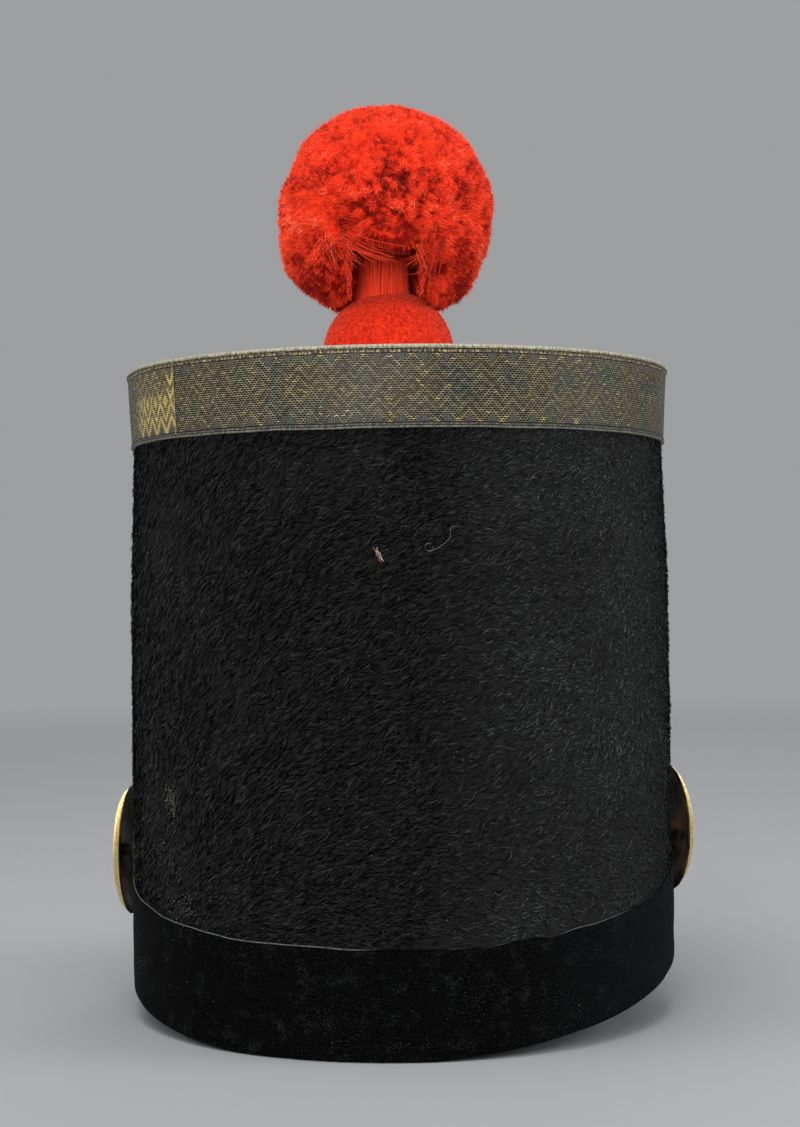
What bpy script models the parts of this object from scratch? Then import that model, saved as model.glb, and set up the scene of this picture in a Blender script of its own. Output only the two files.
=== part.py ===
"""A tall shako: an oval felt crown with its lace, velvet band, leather peak, chin strap and double pompon.

Metres, +Z up. The wearer faces +Y, and their left is -X. The hat stands on the floor at Z = 0, on the back of
its rim and on the front edge of its peak, and the origin is under the middle of its overall box.
"""

import math
import random

import bmesh
import bpy
from mathutils import Matrix, Vector

# ---------------------------------------------------------------- driving dimensions

GAP = 0.0003  # clearance between two pieces that touch
MERGE = 0.000001  # points this close are one
SEGMENTS = 64  # facets round the crown and everything that wraps it

# The crown stands level at its top. Its rim rises from the back, where it rests, to the front, over the peak.
CROWN_HEIGHT = 0.2020  # floor to the top edge of the felt, at the front and back
CROWN_SADDLE = 0.0013  # how much higher that edge has warped at the sides
RIM_RISE = 0.0304  # how much higher the rim is at the front than at the back
RIM_WARP = 0.0045  # the old felt sits this much higher on the wearer's right, and as much lower on the left
RIM_SETTLED = 0.0010  # how far its lowest stretch has settled flat on the floor
FELT_THICK = 0.0030

# Outer face of the felt. Share of the height from the rim to the top edge, half width, half depth.
WALL_SECTIONS = (
    (0.00, 0.0861, 0.0983),
    (0.16, 0.0863, 0.0983),
    (0.40, 0.0868, 0.0982),
    (0.66, 0.0866, 0.0975),
    (0.87, 0.0853, 0.0957),
    (1.00, 0.0867, 0.0967),
)

TOP_SINK = 0.0012  # the leather top lies this far under the felt's edge
TOP_THICK = 0.0025

LACE_WIDTH = 0.0240  # from its lower edge to its fold over the crown's edge
LACE_THICK = 0.0009
LACE_RIB = 0.0004  # how far the ribs along both edges stand proud
LACE_RIB_WIDTH = 0.0013
LACE_FOLD = 0.0030  # how far it folds inwards over the felt
LACE_LAP = (196.0, 222.0)  # degrees: where one end of the lace lies over the other
LACE_LAP_THICK = 0.0006

VELVET_WIDTH = 0.0310
VELVET_FLARE = 0.0022  # it is this much wider on the left, and narrower on the right
VELVET_THICK = 0.0012
VELVET_FOLD = 0.0028  # how far it folds inwards under the felt

PEAK_REACH = 0.0500  # from the rim's outer face to the tip
PEAK_HALF_SPAN = 62.0  # degrees each side of the front
PEAK_THICK = 0.0024
PEAK_BULGE = 0.0018  # how far it swells above a straight line from root to edge
PEAK_FULL = 2.4  # the power that shapes its plan: higher is squarer
PEAK_LANDING = (-0.12, 0.93)  # shares of the full reach between which its edge comes down to the floor
PEAK_TAB_HEIGHT = 0.0095  # the tab that is sewn inside the felt
PEAK_TAB_THICK = 0.0018
PEAK_STEPS = 32

BOSS_RADIUS = 0.0215
BOSS_HEIGHT = 0.0050
BOSS_SHEET = 0.0008  # the thickness of the brass
BOSS_SHANK = 0.0008  # how far the shank lifts the boss off the strap
BOSS_ANGLE = 10.0  # degrees forward of the crown's side
BOSS_SEGMENTS = 24

# The bosses. Name, side, height of the centre, degrees that the rear edge leans out from the crown.
BOSSES = (
    ("boss_left", -1, 0.0491, -1.0),
    ("boss_right", 1, 0.0540, 4.0),
)

STRAP_WIDTH = 0.0140
STRAP_THICK = 0.0014
STRAP_FRONT_Z = 0.0400  # the middle of the strap at the front, just above the peak
STRAP_DIP = 1.6  # the power that shapes its dip: higher is flatter in front
STRAP_TAIL = 28.0  # degrees of the long strap's tail past the buckle
BUCKLE_ANGLE = 118.0  # degrees: on the wearer's left of the front
BUCKLE_WIRE = 0.0011  # radius
BUCKLE_HEIGHT = 0.0190
BUCKLE_LENGTH = 0.0130

BALL_RADIUS = 0.0250  # the pompon's lower ball
BALL_CENTRE = 0.0205  # above the lace
BALL_FORWARD = 0.0060  # its centre, in front of the lace's face
TUFT_RADIUS = 0.0419  # the pompon's upper ball, sideways
TUFT_HALF_HEIGHT = 0.0386
TUFT_CENTRE = 0.0775  # above the lace
TUFT_LOCK = 0.0034  # how far its locks of wool stand out
TUFT_HOLLOW = 0.0190  # the hollow round the neck reaches up to this far under its centre
TUFT_PARTING = 0.0215  # and so does the parting at the back, where the neck shows
TUFT_PARTING_TURN = 15.0  # degrees each side of the back

# The upper ball's underside, hanging round the neck. Degrees from straight down, reach, drop under the centre.
TUFT_UNDERSIDE = (
    (0.0, 0.0000, TUFT_HOLLOW),
    (16.5, 0.0142, TUFT_HOLLOW),
    (31.0, 0.0225, 0.0352),
    (48.0, 0.0312, 0.0292),
    (64.0, 0.0364, 0.0180),
)
BALL_LOCK = 0.0010
NECK_RADIUS = 0.0105
NECK_FLUTE = 0.0006
POMPON_SIDE = 0.0005  # how far the pompon stands to the wearer's right

POST_RADIUS = 0.0020
POST_LENGTH = 0.0400
POCKET_TOP = 0.0020  # under the lace's top
POCKET_HEIGHT = 0.0360
POCKET_WALL = 0.0016
POCKET_HALF_WIDTH = 0.0070
POCKET_SEGMENTS = 24

# ---------------------------------------------------------------- sizes that follow

LACE_TOP = CROWN_HEIGHT + GAP + LACE_THICK + LACE_RIB * 0.5
LACE_FACE = WALL_SECTIONS[-1][2] + GAP + LACE_THICK + LACE_RIB
BAND_FACE = GAP + VELVET_THICK  # from the felt to the velvet's outer face
BACK_REACH = WALL_SECTIONS[0][2] + BAND_FACE
FRONT_REACH = BACK_REACH + PEAK_REACH
AXIS_Y = (BACK_REACH - FRONT_REACH) / 2  # the crown's middle, so that the box is centred on the origin
POMPON_Y = AXIS_Y + LACE_FACE + BALL_FORWARD


def read_rows(rows, at):
    """The columns after the first, between the two rows of a table that the value lies between."""
    for low, high in zip(rows, rows[1:]):
        if at <= high[0]:
            t = (at - low[0]) / (high[0] - low[0])
            return [a + t * (b - a) for a, b in zip(low[1:], high[1:])]
    return rows[-1][1:]


def share_between(value, low, high):
    """0 below low, 1 above high, and a smooth step between them."""
    t = min(1.0, max(0.0, (value - low) / (high - low)))
    return t * t * (3 - 2 * t)


def bare_rim(angle):
    """Height of the rim at an angle in degrees, from the crown's middle, before the hat is set on the floor."""
    turn = math.radians(angle)
    return RIM_RISE / 2 * math.sin(turn) + RIM_WARP * math.cos(turn)


RIM_LOWEST = -math.hypot(RIM_RISE / 2, RIM_WARP)


def rim_z(angle):
    """Height of the rim above the floor."""
    return max(0.0, bare_rim(angle) - RIM_LOWEST - RIM_SETTLED)


def crown_z(angle):
    """Height of the felt's top edge above the floor."""
    return CROWN_HEIGHT + CROWN_SADDLE * math.cos(math.radians(angle)) ** 2


def wall_section(angle, z):
    """Half width and half depth of the felt's outer face, at an angle and a height."""
    share = (z - rim_z(angle)) / (crown_z(angle) - rim_z(angle))
    return read_rows(WALL_SECTIONS, max(0.0, share))


def on_wall(angle, z, out=0.0, at=None):
    """A point out from the felt's outer face. With at, it stands at that height over the wall's form at z."""
    width, depth = wall_section(angle, z)
    turn = math.radians(angle)
    x = (width + out) * math.cos(turn)
    y = AXIS_Y + (depth + out) * math.sin(turn)
    return Vector((x, y, z if at is None else at))


ROUND = [360.0 * i / SEGMENTS for i in range(SEGMENTS)]

# ---------------------------------------------------------------- building with bmesh


def skin(loops, closed):
    """A solid skinned over its loops, closed on itself like a ring, or capped at both ends."""
    bm = bmesh.new()
    first = [bm.verts.new(p) for p in loops[0]]
    edges = [bm.edges.new(pair) for pair in zip(first, first[1:] + first[:1])]
    if not closed:
        bmesh.ops.edgeloop_fill(bm, edges=edges)
    verts = first
    for points in loops[1:] + (loops[:1] if closed else []):
        made = bmesh.ops.extrude_edge_only(bm, edges=edges)["geom"]
        fresh = {v for v in made if isinstance(v, bmesh.types.BMVert)}
        edges = [e for e in made if isinstance(e, bmesh.types.BMEdge) and fresh.issuperset(e.verts)]
        verts = [next(e.other_vert(v) for e in v.link_edges if e.other_vert(v) in fresh) for v in verts]
        for vert, point in zip(verts, points):
            vert.co = point
    if closed:
        bmesh.ops.remove_doubles(bm, verts=first + verts, dist=MERGE)
    else:
        bmesh.ops.edgeloop_fill(bm, edges=edges)
    return bm


def finish(bm, name, material, crease=35.0):
    """Makes the object, with its faces pointing out and its soft edges shaded smooth."""
    bmesh.ops.recalc_face_normals(bm, faces=bm.faces)
    mesh = bpy.data.meshes.new(name)
    bm.to_mesh(mesh)
    bm.free()
    mesh.shade_smooth()
    mesh.set_sharp_from_angle(angle=math.radians(crease))
    mesh.materials.append(material)
    obj = bpy.data.objects.new(name, mesh)
    bpy.context.scene.collection.objects.link(obj)
    return obj


def make_material(name, colour, roughness, metallic=0.0):
    material = bpy.data.materials.new(name)
    material.use_nodes = True
    shader = material.node_tree.nodes["Principled BSDF"]
    shader.inputs["Base Color"].default_value = (*colour, 1.0)
    shader.inputs["Roughness"].default_value = roughness
    shader.inputs["Metallic"].default_value = metallic
    return material


def circle(radius, segments, centre=(0.0, 0.0), flute=0.0):
    """Points round a circle in a plane. With flute, every other point lies that much further in."""
    turns = [2 * math.pi * i / segments for i in range(segments)]
    radii = [radius - flute * (i % 2) for i in range(segments)]
    return [(centre[0] + r * math.cos(t), centre[1] + r * math.sin(t)) for r, t in zip(radii, turns)]


# ---------------------------------------------------------------- crown


def build_crown_wall(felt):
    """The felt tube, open at both ends. Its lower edge stands on the fold of the velvet."""
    lift = VELVET_THICK + GAP

    def ring(share, inset):
        points = []
        for angle in ROUND:
            low = rim_z(angle) + (lift if share == 0.0 else 0.0)
            z = low + share * (crown_z(angle) - low)
            points.append(on_wall(angle, z, -inset))
        return points

    shares = [row[0] for row in WALL_SECTIONS]
    outer = [ring(share, 0.0) for share in shares]
    inner = [ring(share, FELT_THICK) for share in reversed(shares) if share not in shares[1:-1:2]]
    return finish(skin(outer + inner, closed=True), "crown_wall", felt)


def build_crown_top(leather):
    """The leather disc inside the top edge of the felt."""
    edge = 0.0006

    def ring(under, inset):
        heights = [(angle, crown_z(angle) - TOP_SINK) for angle in ROUND]
        return [on_wall(angle, z, -FELT_THICK - GAP - inset, at=z - under) for angle, z in heights]

    low = TOP_THICK
    loops = [ring(low, edge), ring(low - edge, 0.0), ring(edge, 0.0), ring(0.0, edge)]
    return finish(skin(loops, closed=False), "crown_top", leather)


def build_top_lace(lace):
    """The lace round the top edge: ribbed along both edges, folded over the felt, and lapped at its ends."""
    low = LACE_TOP - LACE_WIDTH
    lip = CROWN_HEIGHT + GAP

    slope = 12.0  # degrees in which the lapped end rises

    def lap(angle):
        start, end = LACE_LAP
        return LACE_LAP_THICK * share_between(angle, start, start + slope) if angle < end else 0.0

    def ring(z, out, follows_lap=True):
        points = []
        for angle in ROUND:
            at = z + crown_z(angle) - CROWN_HEIGHT
            over = out + (lap(angle) if follows_lap else 0.0)
            points.append(on_wall(angle, min(at, crown_z(angle)), over, at=at))
        return points

    face = GAP + LACE_THICK
    rib = face + LACE_RIB
    loops = [
        ring(low, GAP, False),
        ring(low, rib),
        ring(low + LACE_RIB_WIDTH, rib),
        ring(low + LACE_RIB_WIDTH * 1.4, face),
        ring(LACE_TOP - LACE_RIB_WIDTH * 2.0, face),
        ring(LACE_TOP - LACE_RIB_WIDTH * 1.6, rib),
        ring(LACE_TOP - LACE_RIB_WIDTH * 0.4, rib),
        ring(LACE_TOP, face * 0.6),
        ring(LACE_TOP - LACE_RIB, -LACE_FOLD, False),
        ring(lip, -LACE_FOLD, False),
        ring(lip, GAP, False),
    ]
    return finish(skin(loops, closed=True), "top_lace", lace)


def velvet_top(angle):
    """Height of the velvet's upper edge."""
    return rim_z(angle) + VELVET_WIDTH - VELVET_FLARE * math.cos(math.radians(angle))


def build_velvet_band(velvet):
    """The velvet round the rim, with its lower edge folded under the felt."""
    soft = VELVET_THICK * 0.55

    def ring(height, out):
        points = []
        for angle in ROUND:
            z = height(angle)
            points.append(on_wall(angle, max(z, rim_z(angle)), out, at=z))
        return points

    loops = [
        ring(lambda a: rim_z(a) + VELVET_THICK, -VELVET_FOLD),
        ring(rim_z, -VELVET_FOLD + soft),
        ring(rim_z, BAND_FACE - soft),
        ring(lambda a: rim_z(a) + soft, BAND_FACE),
        ring(lambda a: rim_z(a) + VELVET_WIDTH * 0.45, BAND_FACE),
        ring(lambda a: velvet_top(a) - soft, BAND_FACE),
        ring(velvet_top, BAND_FACE - soft),
        ring(velvet_top, GAP),
        ring(lambda a: rim_z(a) + VELVET_THICK, GAP),
    ]
    return finish(skin(loops, closed=True), "velvet_band", velvet)


# ---------------------------------------------------------------- peak


def build_peak(leather):
    """The leather peak: a tab sewn inside the felt, and a leaf that slopes down to rest on its front edge."""

    def section(step):
        side = 2 * step / PEAK_STEPS - 1  # -1 at one end, 0 at the front, 1 at the other
        angle = 90.0 + PEAK_HALF_SPAN * side
        fullness = 1 - abs(side) ** PEAK_FULL
        root = rim_z(angle) - GAP
        inside = -FELT_THICK - GAP
        tucked = BAND_FACE - VELVET_THICK  # the ends die away under the velvet
        reach = tucked + (BAND_FACE + PEAK_REACH - tucked) * fullness
        edge_z = PEAK_THICK + (root - PEAK_THICK) * (1 - share_between(fullness, *PEAK_LANDING))
        edge_z = min(edge_z, root)

        def leaf(share, under):
            """A point on the leaf, from the root at share 0 to the edge at share 1, or under it."""
            out = inside + (reach - inside) * share
            straight = root + (edge_z - root) * max(0.0, (out - BAND_FACE) / max(reach - BAND_FACE, 0.001))
            swell = PEAK_BULGE * fullness * math.sin(math.pi * share) ** 2
            drop = PEAK_THICK if under else 0.0
            return on_wall(angle, rim_z(angle), out, at=straight + swell - drop)

        tab = inside - PEAK_TAB_THICK
        tab_top = root + PEAK_TAB_HEIGHT
        shares = (0.12, 0.4, 0.7, 1.0)
        upper = [leaf(share, False) for share in (0.0,) + shares]
        lower = [leaf(share, True) for share in reversed(shares)]
        back = [
            on_wall(angle, rim_z(angle), tab, at=root - PEAK_THICK),
            on_wall(angle, tab_top, tab),
            on_wall(angle, tab_top, inside),
        ]
        return upper + lower + back

    loops = [section(step) for step in range(PEAK_STEPS + 1)]
    return finish(skin(loops, closed=False), "peak", leather)


# ---------------------------------------------------------------- bosses and chin strap


def build_boss(name, side, height, lean, brass):
    """A domed brass boss, hollow behind, on a short shank that seats on the end of the strap."""
    angle = 90.0 - side * (90.0 - BOSS_ANGLE)
    seat = BAND_FACE + GAP + STRAP_THICK + GAP
    centre = on_wall(angle, height, seat)
    width, depth = wall_section(angle, height)
    turn = math.radians(angle)
    facing = math.atan2(math.sin(turn) / depth, math.cos(turn) / width) + math.radians(side * lean)
    # Distance out from the seat, and radius: from the dome's crown over its ringed edge, and back inside.
    edge = BOSS_SHANK
    dome = (
        (edge + BOSS_HEIGHT, 0.0020),
        (edge + BOSS_HEIGHT * 0.96, 0.0065),
        (edge + BOSS_HEIGHT * 0.84, 0.0115),
        (edge + BOSS_HEIGHT * 0.64, 0.0155),
        (edge + BOSS_HEIGHT * 0.52, 0.0170),
        (edge + BOSS_HEIGHT * 0.58, 0.0183),
        (edge + BOSS_HEIGHT * 0.42, 0.0198),
        (edge + 0.0004, BOSS_RADIUS),
        (edge, BOSS_RADIUS - 0.0005),
        (edge + BOSS_HEIGHT * 0.40 - BOSS_SHEET * 0.5, 0.0172),
        (edge + BOSS_HEIGHT * 0.82 - BOSS_SHEET, 0.0108),
        (edge + BOSS_HEIGHT - BOSS_SHEET * 1.1, 0.0022),
        (GAP, 0.0020),
    )
    loops = []
    for out, radius in dome:
        ring = circle(radius, BOSS_SEGMENTS)
        loops.append([Vector((out, side * a, b)) for a, b in ring])
    bm = skin(loops, closed=False)
    place = Matrix.Translation(centre) @ Matrix.Rotation(facing, 4, "Z")
    bmesh.ops.transform(bm, matrix=place, verts=bm.verts)
    return finish(bm, name, brass)


def strap_z(angle):
    """Height of the strap's middle: it dips from one boss to the front, and rises to the other."""
    boss_height = BOSSES[1][2] if angle < 90.0 else BOSSES[0][2]
    sideways = abs(math.cos(math.radians(angle)))
    return STRAP_FRONT_Z + (boss_height - STRAP_FRONT_Z) * sideways**STRAP_DIP


def strap_section(angle, out, width=STRAP_WIDTH):
    """The outline of a flat strap's end, where it stands out from the crown at an angle."""
    middle = strap_z(angle)
    low, high = middle - width / 2, middle + width / 2
    corners = ((low, out), (low, out + STRAP_THICK), (high, out + STRAP_THICK), (high, out))
    return [on_wall(angle, middle, o, at=z) for z, o in corners]


def strap_run(start, end, steps, out):
    """Sections of a strap that follows the crown from one angle to another."""
    return [strap_section(start + (end - start) * step / steps, out) for step in range(steps + 1)]


def build_straps(leather):
    """The long strap runs from the right boss through the buckle, and its tail lies over the short one."""
    first = BAND_FACE + GAP
    second = first + STRAP_THICK + GAP
    boss_lap = 4.0  # degrees that each strap runs past its boss's middle
    climb = 5.0  # degrees in which the long strap rises on to the short one
    tip_reach, tip_width = 3.0, STRAP_WIDTH * 0.45  # the tail's tip: degrees past its end, and how wide
    short = strap_run(180.0 - BOSS_ANGLE + boss_lap, BUCKLE_ANGLE, 20, first)
    finish(skin(short, closed=False), "strap_short", leather)
    run = strap_run(BOSS_ANGLE - boss_lap, BUCKLE_ANGLE - climb, 44, first)
    tail = strap_run(BUCKLE_ANGLE, BUCKLE_ANGLE + STRAP_TAIL, 18, second)
    tip = [strap_section(BUCKLE_ANGLE + STRAP_TAIL + tip_reach, second, tip_width)]
    finish(skin(run + tail + tip, closed=False), "strap_long", leather)


def build_buckle(brass):
    """A plain oblong buckle frame, of round wire, standing round the strap's two layers."""
    out = BAND_FACE + GAP + STRAP_THICK * 2 + GAP * 2 + BUCKLE_WIRE
    centre = on_wall(BUCKLE_ANGLE, strap_z(BUCKLE_ANGLE), out)
    nearby = on_wall(BUCKLE_ANGLE + 1.0, strap_z(BUCKLE_ANGLE + 1.0), out)
    along = (nearby - centre).normalized()
    outward = along.cross(Vector((0.0, 0.0, 1.0))).normalized()
    if outward.dot(centre - Vector((0.0, AXIS_Y, centre.z))) < 0:
        outward.negate()
    up = outward.cross(along).normalized()
    if up.z < 0:
        up.negate()
    corner = 0.0030  # radius of the frame's corners
    per_corner = 4
    loops = []
    for quarter in range(4):
        sign_a = 1 if quarter in (0, 3) else -1
        sign_b = 1 if quarter in (0, 1) else -1
        middle_a = sign_a * (BUCKLE_LENGTH / 2 - corner)
        middle_b = sign_b * (BUCKLE_HEIGHT / 2 - corner)
        for step in range(per_corner):
            turn = math.pi / 2 * (quarter + step / (per_corner - 1))
            ray = along * math.cos(turn) + up * math.sin(turn)
            middle = centre + along * middle_a + up * middle_b + ray * corner
            wire = circle(BUCKLE_WIRE, 8)
            loops.append([middle + ray * a + outward * b for a, b in wire])
    return finish(skin(loops, closed=True), "strap_buckle", brass)


# ---------------------------------------------------------------- pompon


def grow_locks(bm, faces, length, taper, rng):
    """Raises a tapered lock of wool on each face, fused to the ball."""
    for face in faces:
        normal = face.normal.copy()
        extruded = bmesh.ops.extrude_discrete_faces(bm, faces=[face])["faces"][0]
        middle = extruded.calc_center_median()
        lean = Vector((rng.uniform(-1, 1), rng.uniform(-1, 1), rng.uniform(-1, 1))) * length * 0.25
        push = normal * length * rng.uniform(0.65, 1.0) + lean
        for vert in extruded.verts:
            vert.co = middle + (vert.co - middle) * taper + push


def tuft_core(direction):
    """The surface of the upper ball's core in a direction from its centre."""
    across = TUFT_RADIUS - TUFT_LOCK
    tall = TUFT_HALF_HEIGHT - TUFT_LOCK
    below = math.degrees(direction.angle(Vector((0.0, 0.0, -1.0))))
    round_from = 82.0  # degrees from straight down, where the underside turns into the round of the ball
    reach, drop = across * math.sin(math.radians(below)), tall * math.cos(math.radians(below))
    if below < round_from:
        start = math.radians(round_from)
        rows = TUFT_UNDERSIDE + ((round_from, across * math.sin(start), tall * math.cos(start)),)
        reach, drop = read_rows(rows, below)
    turn = math.atan2(direction.y, direction.x)
    if abs(math.degrees(turn) + 90.0) < TUFT_PARTING_TURN:
        drop = min(drop, TUFT_PARTING)
    return Vector((reach * math.cos(turn), reach * math.sin(turn), -drop))


def build_upper_ball(wool):
    """The upper ball: locks of wool round a core, hollow round the neck, and parted at the back."""
    rng = random.Random(4)
    bm = bmesh.new()
    bmesh.ops.create_icosphere(bm, subdivisions=3, radius=1.0)
    rib_turn = math.radians(18.0)  # brings one of its ribs straight behind
    hollow_turn = math.radians(30.0)  # from straight down
    bmesh.ops.rotate(bm, matrix=Matrix.Rotation(rib_turn, 3, "Z"), verts=bm.verts)
    inside = [f for f in bm.faces if f.calc_center_median().z < -math.cos(hollow_turn)]
    for vert in bm.verts:
        vert.co = tuft_core(vert.co)
    bm.normal_update()
    grow_locks(bm, [f for f in bm.faces if f not in inside], TUFT_LOCK, 0.62, rng)
    place = Matrix.Translation((POMPON_SIDE, POMPON_Y, LACE_TOP + TUFT_CENTRE))
    bmesh.ops.transform(bm, matrix=place, verts=bm.verts)
    return finish(bm, "pompon_ball_upper", wool, crease=60.0)


def build_lower_ball(wool):
    """The lower ball, of short-cut wool, flat where it stands on the crown's edge and under the neck."""
    rng = random.Random(7)
    bm = bmesh.new()
    bmesh.ops.create_icosphere(bm, subdivisions=3, radius=BALL_RADIUS - BALL_LOCK)
    floor = -(BALL_CENTRE - GAP * 2)
    roof = math.sqrt(BALL_RADIUS**2 - NECK_RADIUS**2) - BALL_LOCK
    for vert in bm.verts:
        vert.co.z = min(roof, max(floor, vert.co.z))
    bm.normal_update()
    clear = NECK_RADIUS + 4 * BALL_LOCK  # no locks nearer the middle than this
    flat = 0.98  # a face that points up or down more than this has none
    round_part = [f for f in bm.faces if abs(f.normal.z) < flat]
    round_part = [f for f in round_part if min(v.co.xy.length for v in f.verts) > clear]
    grow_locks(bm, round_part, BALL_LOCK, 0.7, rng)
    place = Matrix.Translation((POMPON_SIDE, POMPON_Y, LACE_TOP + BALL_CENTRE))
    bmesh.ops.transform(bm, matrix=place, verts=bm.verts)
    return finish(bm, "pompon_ball_lower", wool, crease=60.0)


def build_neck(wool):
    """The bound neck between the two balls, fluted by its strands."""
    low = LACE_TOP + BALL_CENTRE + math.sqrt(BALL_RADIUS**2 - NECK_RADIUS**2) - BALL_LOCK + GAP
    high = LACE_TOP + TUFT_CENTRE - TUFT_HOLLOW - GAP
    strands = circle(NECK_RADIUS, 32, (POMPON_SIDE, POMPON_Y), NECK_FLUTE)
    loops = [[(x, y, z) for x, y in strands] for z in (low, high)]
    return finish(skin(loops, closed=False), "pompon_neck", wool)


def build_post(metal):
    """The pompon's post: one plain rod from the lower ball down into the pocket."""
    high = LACE_TOP + GAP
    rod = circle(POST_RADIUS, 12, (POMPON_SIDE, POMPON_Y))
    loops = [[(x, y, z) for x, y in rod] for z in (high - POST_LENGTH, high)]
    return finish(skin(loops, closed=False), "pompon_post", metal)


def build_pocket(leather):
    """The leather pocket on the crown's front that takes the post: flat behind, round in front."""
    high = LACE_TOP - POCKET_TOP
    low = high - POCKET_HEIGHT
    back = AXIS_Y + LACE_FACE + GAP
    bore = POST_RADIUS + GAP
    corner = 1.6  # how soon the sides turn into the flat back
    outline = []
    for x, y in circle(1.0, POCKET_SEGMENTS):
        ahead = y * (bore + POCKET_WALL) if y > 0 else (back - POMPON_Y) * min(1.0, -y * corner)
        outline.append((POMPON_SIDE + x * POCKET_HALF_WIDTH, POMPON_Y + ahead))
    hole = circle(bore, POCKET_SEGMENTS, (POMPON_SIDE, POMPON_Y))
    loops = [
        [(x, y, low) for x, y in outline],
        [(x, y, high) for x, y in outline],
        [(x, y, high) for x, y in hole],
        [(x, y, low) for x, y in hole],
    ]
    return finish(skin(loops, closed=True), "pompon_pocket", leather)


def main():
    for obj in list(bpy.data.objects):
        bpy.data.objects.remove(obj, do_unlink=True)
    felt = make_material("black_felt", (0.012, 0.012, 0.012), 0.95)
    velvet = make_material("black_velvet", (0.006, 0.006, 0.008), 0.9)
    leather = make_material("black_leather", (0.015, 0.014, 0.013), 0.42)
    lace = make_material("tarnished_lace", (0.22, 0.19, 0.12), 0.55, 0.5)
    brass = make_material("gilt_brass", (0.78, 0.57, 0.22), 0.3, 1.0)
    wire = make_material("iron_wire", (0.10, 0.09, 0.085), 0.5, 1.0)
    wool = make_material("scarlet_wool", (0.75, 0.03, 0.012), 0.95)
    build_crown_wall(felt)
    build_crown_top(leather)
    build_top_lace(lace)
    build_velvet_band(velvet)
    build_peak(leather)
    for name, side, height, lean in BOSSES:
        build_boss(name, side, height, lean, brass)
    build_straps(leather)
    build_buckle(brass)
    build_upper_ball(wool)
    build_lower_ball(wool)
    build_neck(wool)
    build_post(wire)
    build_pocket(leather)


main()
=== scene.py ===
import math
import bmesh
import bpy
import numpy as np
from mathutils import Matrix, Vector, kdtree, noise


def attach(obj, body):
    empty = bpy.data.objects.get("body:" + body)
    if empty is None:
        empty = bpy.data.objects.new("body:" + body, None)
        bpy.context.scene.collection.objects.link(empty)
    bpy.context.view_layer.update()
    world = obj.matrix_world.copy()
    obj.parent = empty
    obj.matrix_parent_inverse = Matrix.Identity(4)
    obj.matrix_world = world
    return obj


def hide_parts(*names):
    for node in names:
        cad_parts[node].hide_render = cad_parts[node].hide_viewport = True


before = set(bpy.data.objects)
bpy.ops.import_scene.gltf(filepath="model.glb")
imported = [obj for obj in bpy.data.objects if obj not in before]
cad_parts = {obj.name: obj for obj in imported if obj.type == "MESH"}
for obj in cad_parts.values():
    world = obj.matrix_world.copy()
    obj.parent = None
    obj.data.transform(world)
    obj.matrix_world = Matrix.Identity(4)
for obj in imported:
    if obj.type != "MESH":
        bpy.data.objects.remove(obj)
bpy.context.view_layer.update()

print("frame loaded")

# The crown as the model has it, in metres; angles are degrees from the wearer's right, 90 is the front.
crownForm = {
    "axisY": -0.0250,
    "topHeight": 0.2020,
    "topSaddle": 0.0013,
    "rimRise": 0.0304,
    "rimWarp": 0.0045,
    "rimSettled": 0.0010,
    "girthHeight": 0.12,
    "girthAxes": (0.0866, 0.0980),
    "shares": (0.00, 0.16, 0.40, 0.66, 0.87, 1.00),
    "halfWidths": (0.0861, 0.0863, 0.0868, 0.0866, 0.0853, 0.0867),
    "halfDepths": (0.0983, 0.0983, 0.0982, 0.0975, 0.0957, 0.0967),
}


def around(turn, width, depth, z):
    # points of an upright oval, at a turn in radians
    return np.stack(np.broadcast_arrays(width * np.cos(turn), depth * np.sin(turn), z), -1)


def slopingRim(angle):
    # the rim's own slope, which goes below the floor at the back
    turn, half = np.radians(angle), crownForm["rimRise"] / 2
    slope = half * np.sin(turn) + crownForm["rimWarp"] * np.cos(turn)
    return slope + math.hypot(half, crownForm["rimWarp"]) - crownForm["rimSettled"]


def rimHeight(angle):
    return np.maximum(0.0, slopingRim(angle))


def topHeight(angle):
    return crownForm["topHeight"] + crownForm["topSaddle"] * np.cos(np.radians(angle)) ** 2


def wallPoint(angle, z, out=0.0):
    # out is measured from the felt's outer face; above or below the felt its end section goes on
    angle, z, out = np.broadcast_arrays(np.asarray(angle, float), z, out)
    share = (z - rimHeight(angle)) / (topHeight(angle) - rimHeight(angle))
    width = np.interp(share, crownForm["shares"], crownForm["halfWidths"]) + out
    depth = np.interp(share, crownForm["shares"], crownForm["halfDepths"]) + out
    return around(np.radians(angle), width, depth, z) + (0.0, crownForm["axisY"], 0.0)


# Degrees round the crown against metres along its wall.
arcAngles = np.linspace(0.0, 360.0, 3601)
arcSteps = np.linalg.norm(np.diff(wallPoint(arcAngles, crownForm["girthHeight"]), axis=0), axis=1)
arcLengths = np.concatenate(([0.0], np.cumsum(arcSteps)))
girth = arcLengths[-1]


def angleAtArc(arc):
    return np.interp(np.mod(arc, girth), arcLengths, arcAngles)


def arcAtAngle(angle):
    return np.interp(np.mod(angle, 360.0), arcAngles, arcLengths)


def softNoise(points, size, shift):
    return np.array([noise.noise(p) for p in (np.asarray(points) / size + shift)])


def eased(values, width):
    # a running mean, which rounds the corners of a drawn line
    return np.convolve(np.pad(values, width // 2, mode="edge"), np.ones(width) / width, "valid")


def unit(vectors):
    return vectors / np.maximum(np.linalg.norm(vectors, axis=-1, keepdims=True), 1e-9)


def addObject(name, data):
    thing = bpy.data.objects.new(name, data)
    bpy.context.scene.collection.objects.link(thing)
    return thing


def addPiece(mesh, material, nodeName=None):
    piece = addObject(mesh.name, mesh)
    mesh.materials.append(material)
    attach(piece, "root")
    if nodeName:
        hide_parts(nodeName)


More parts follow.
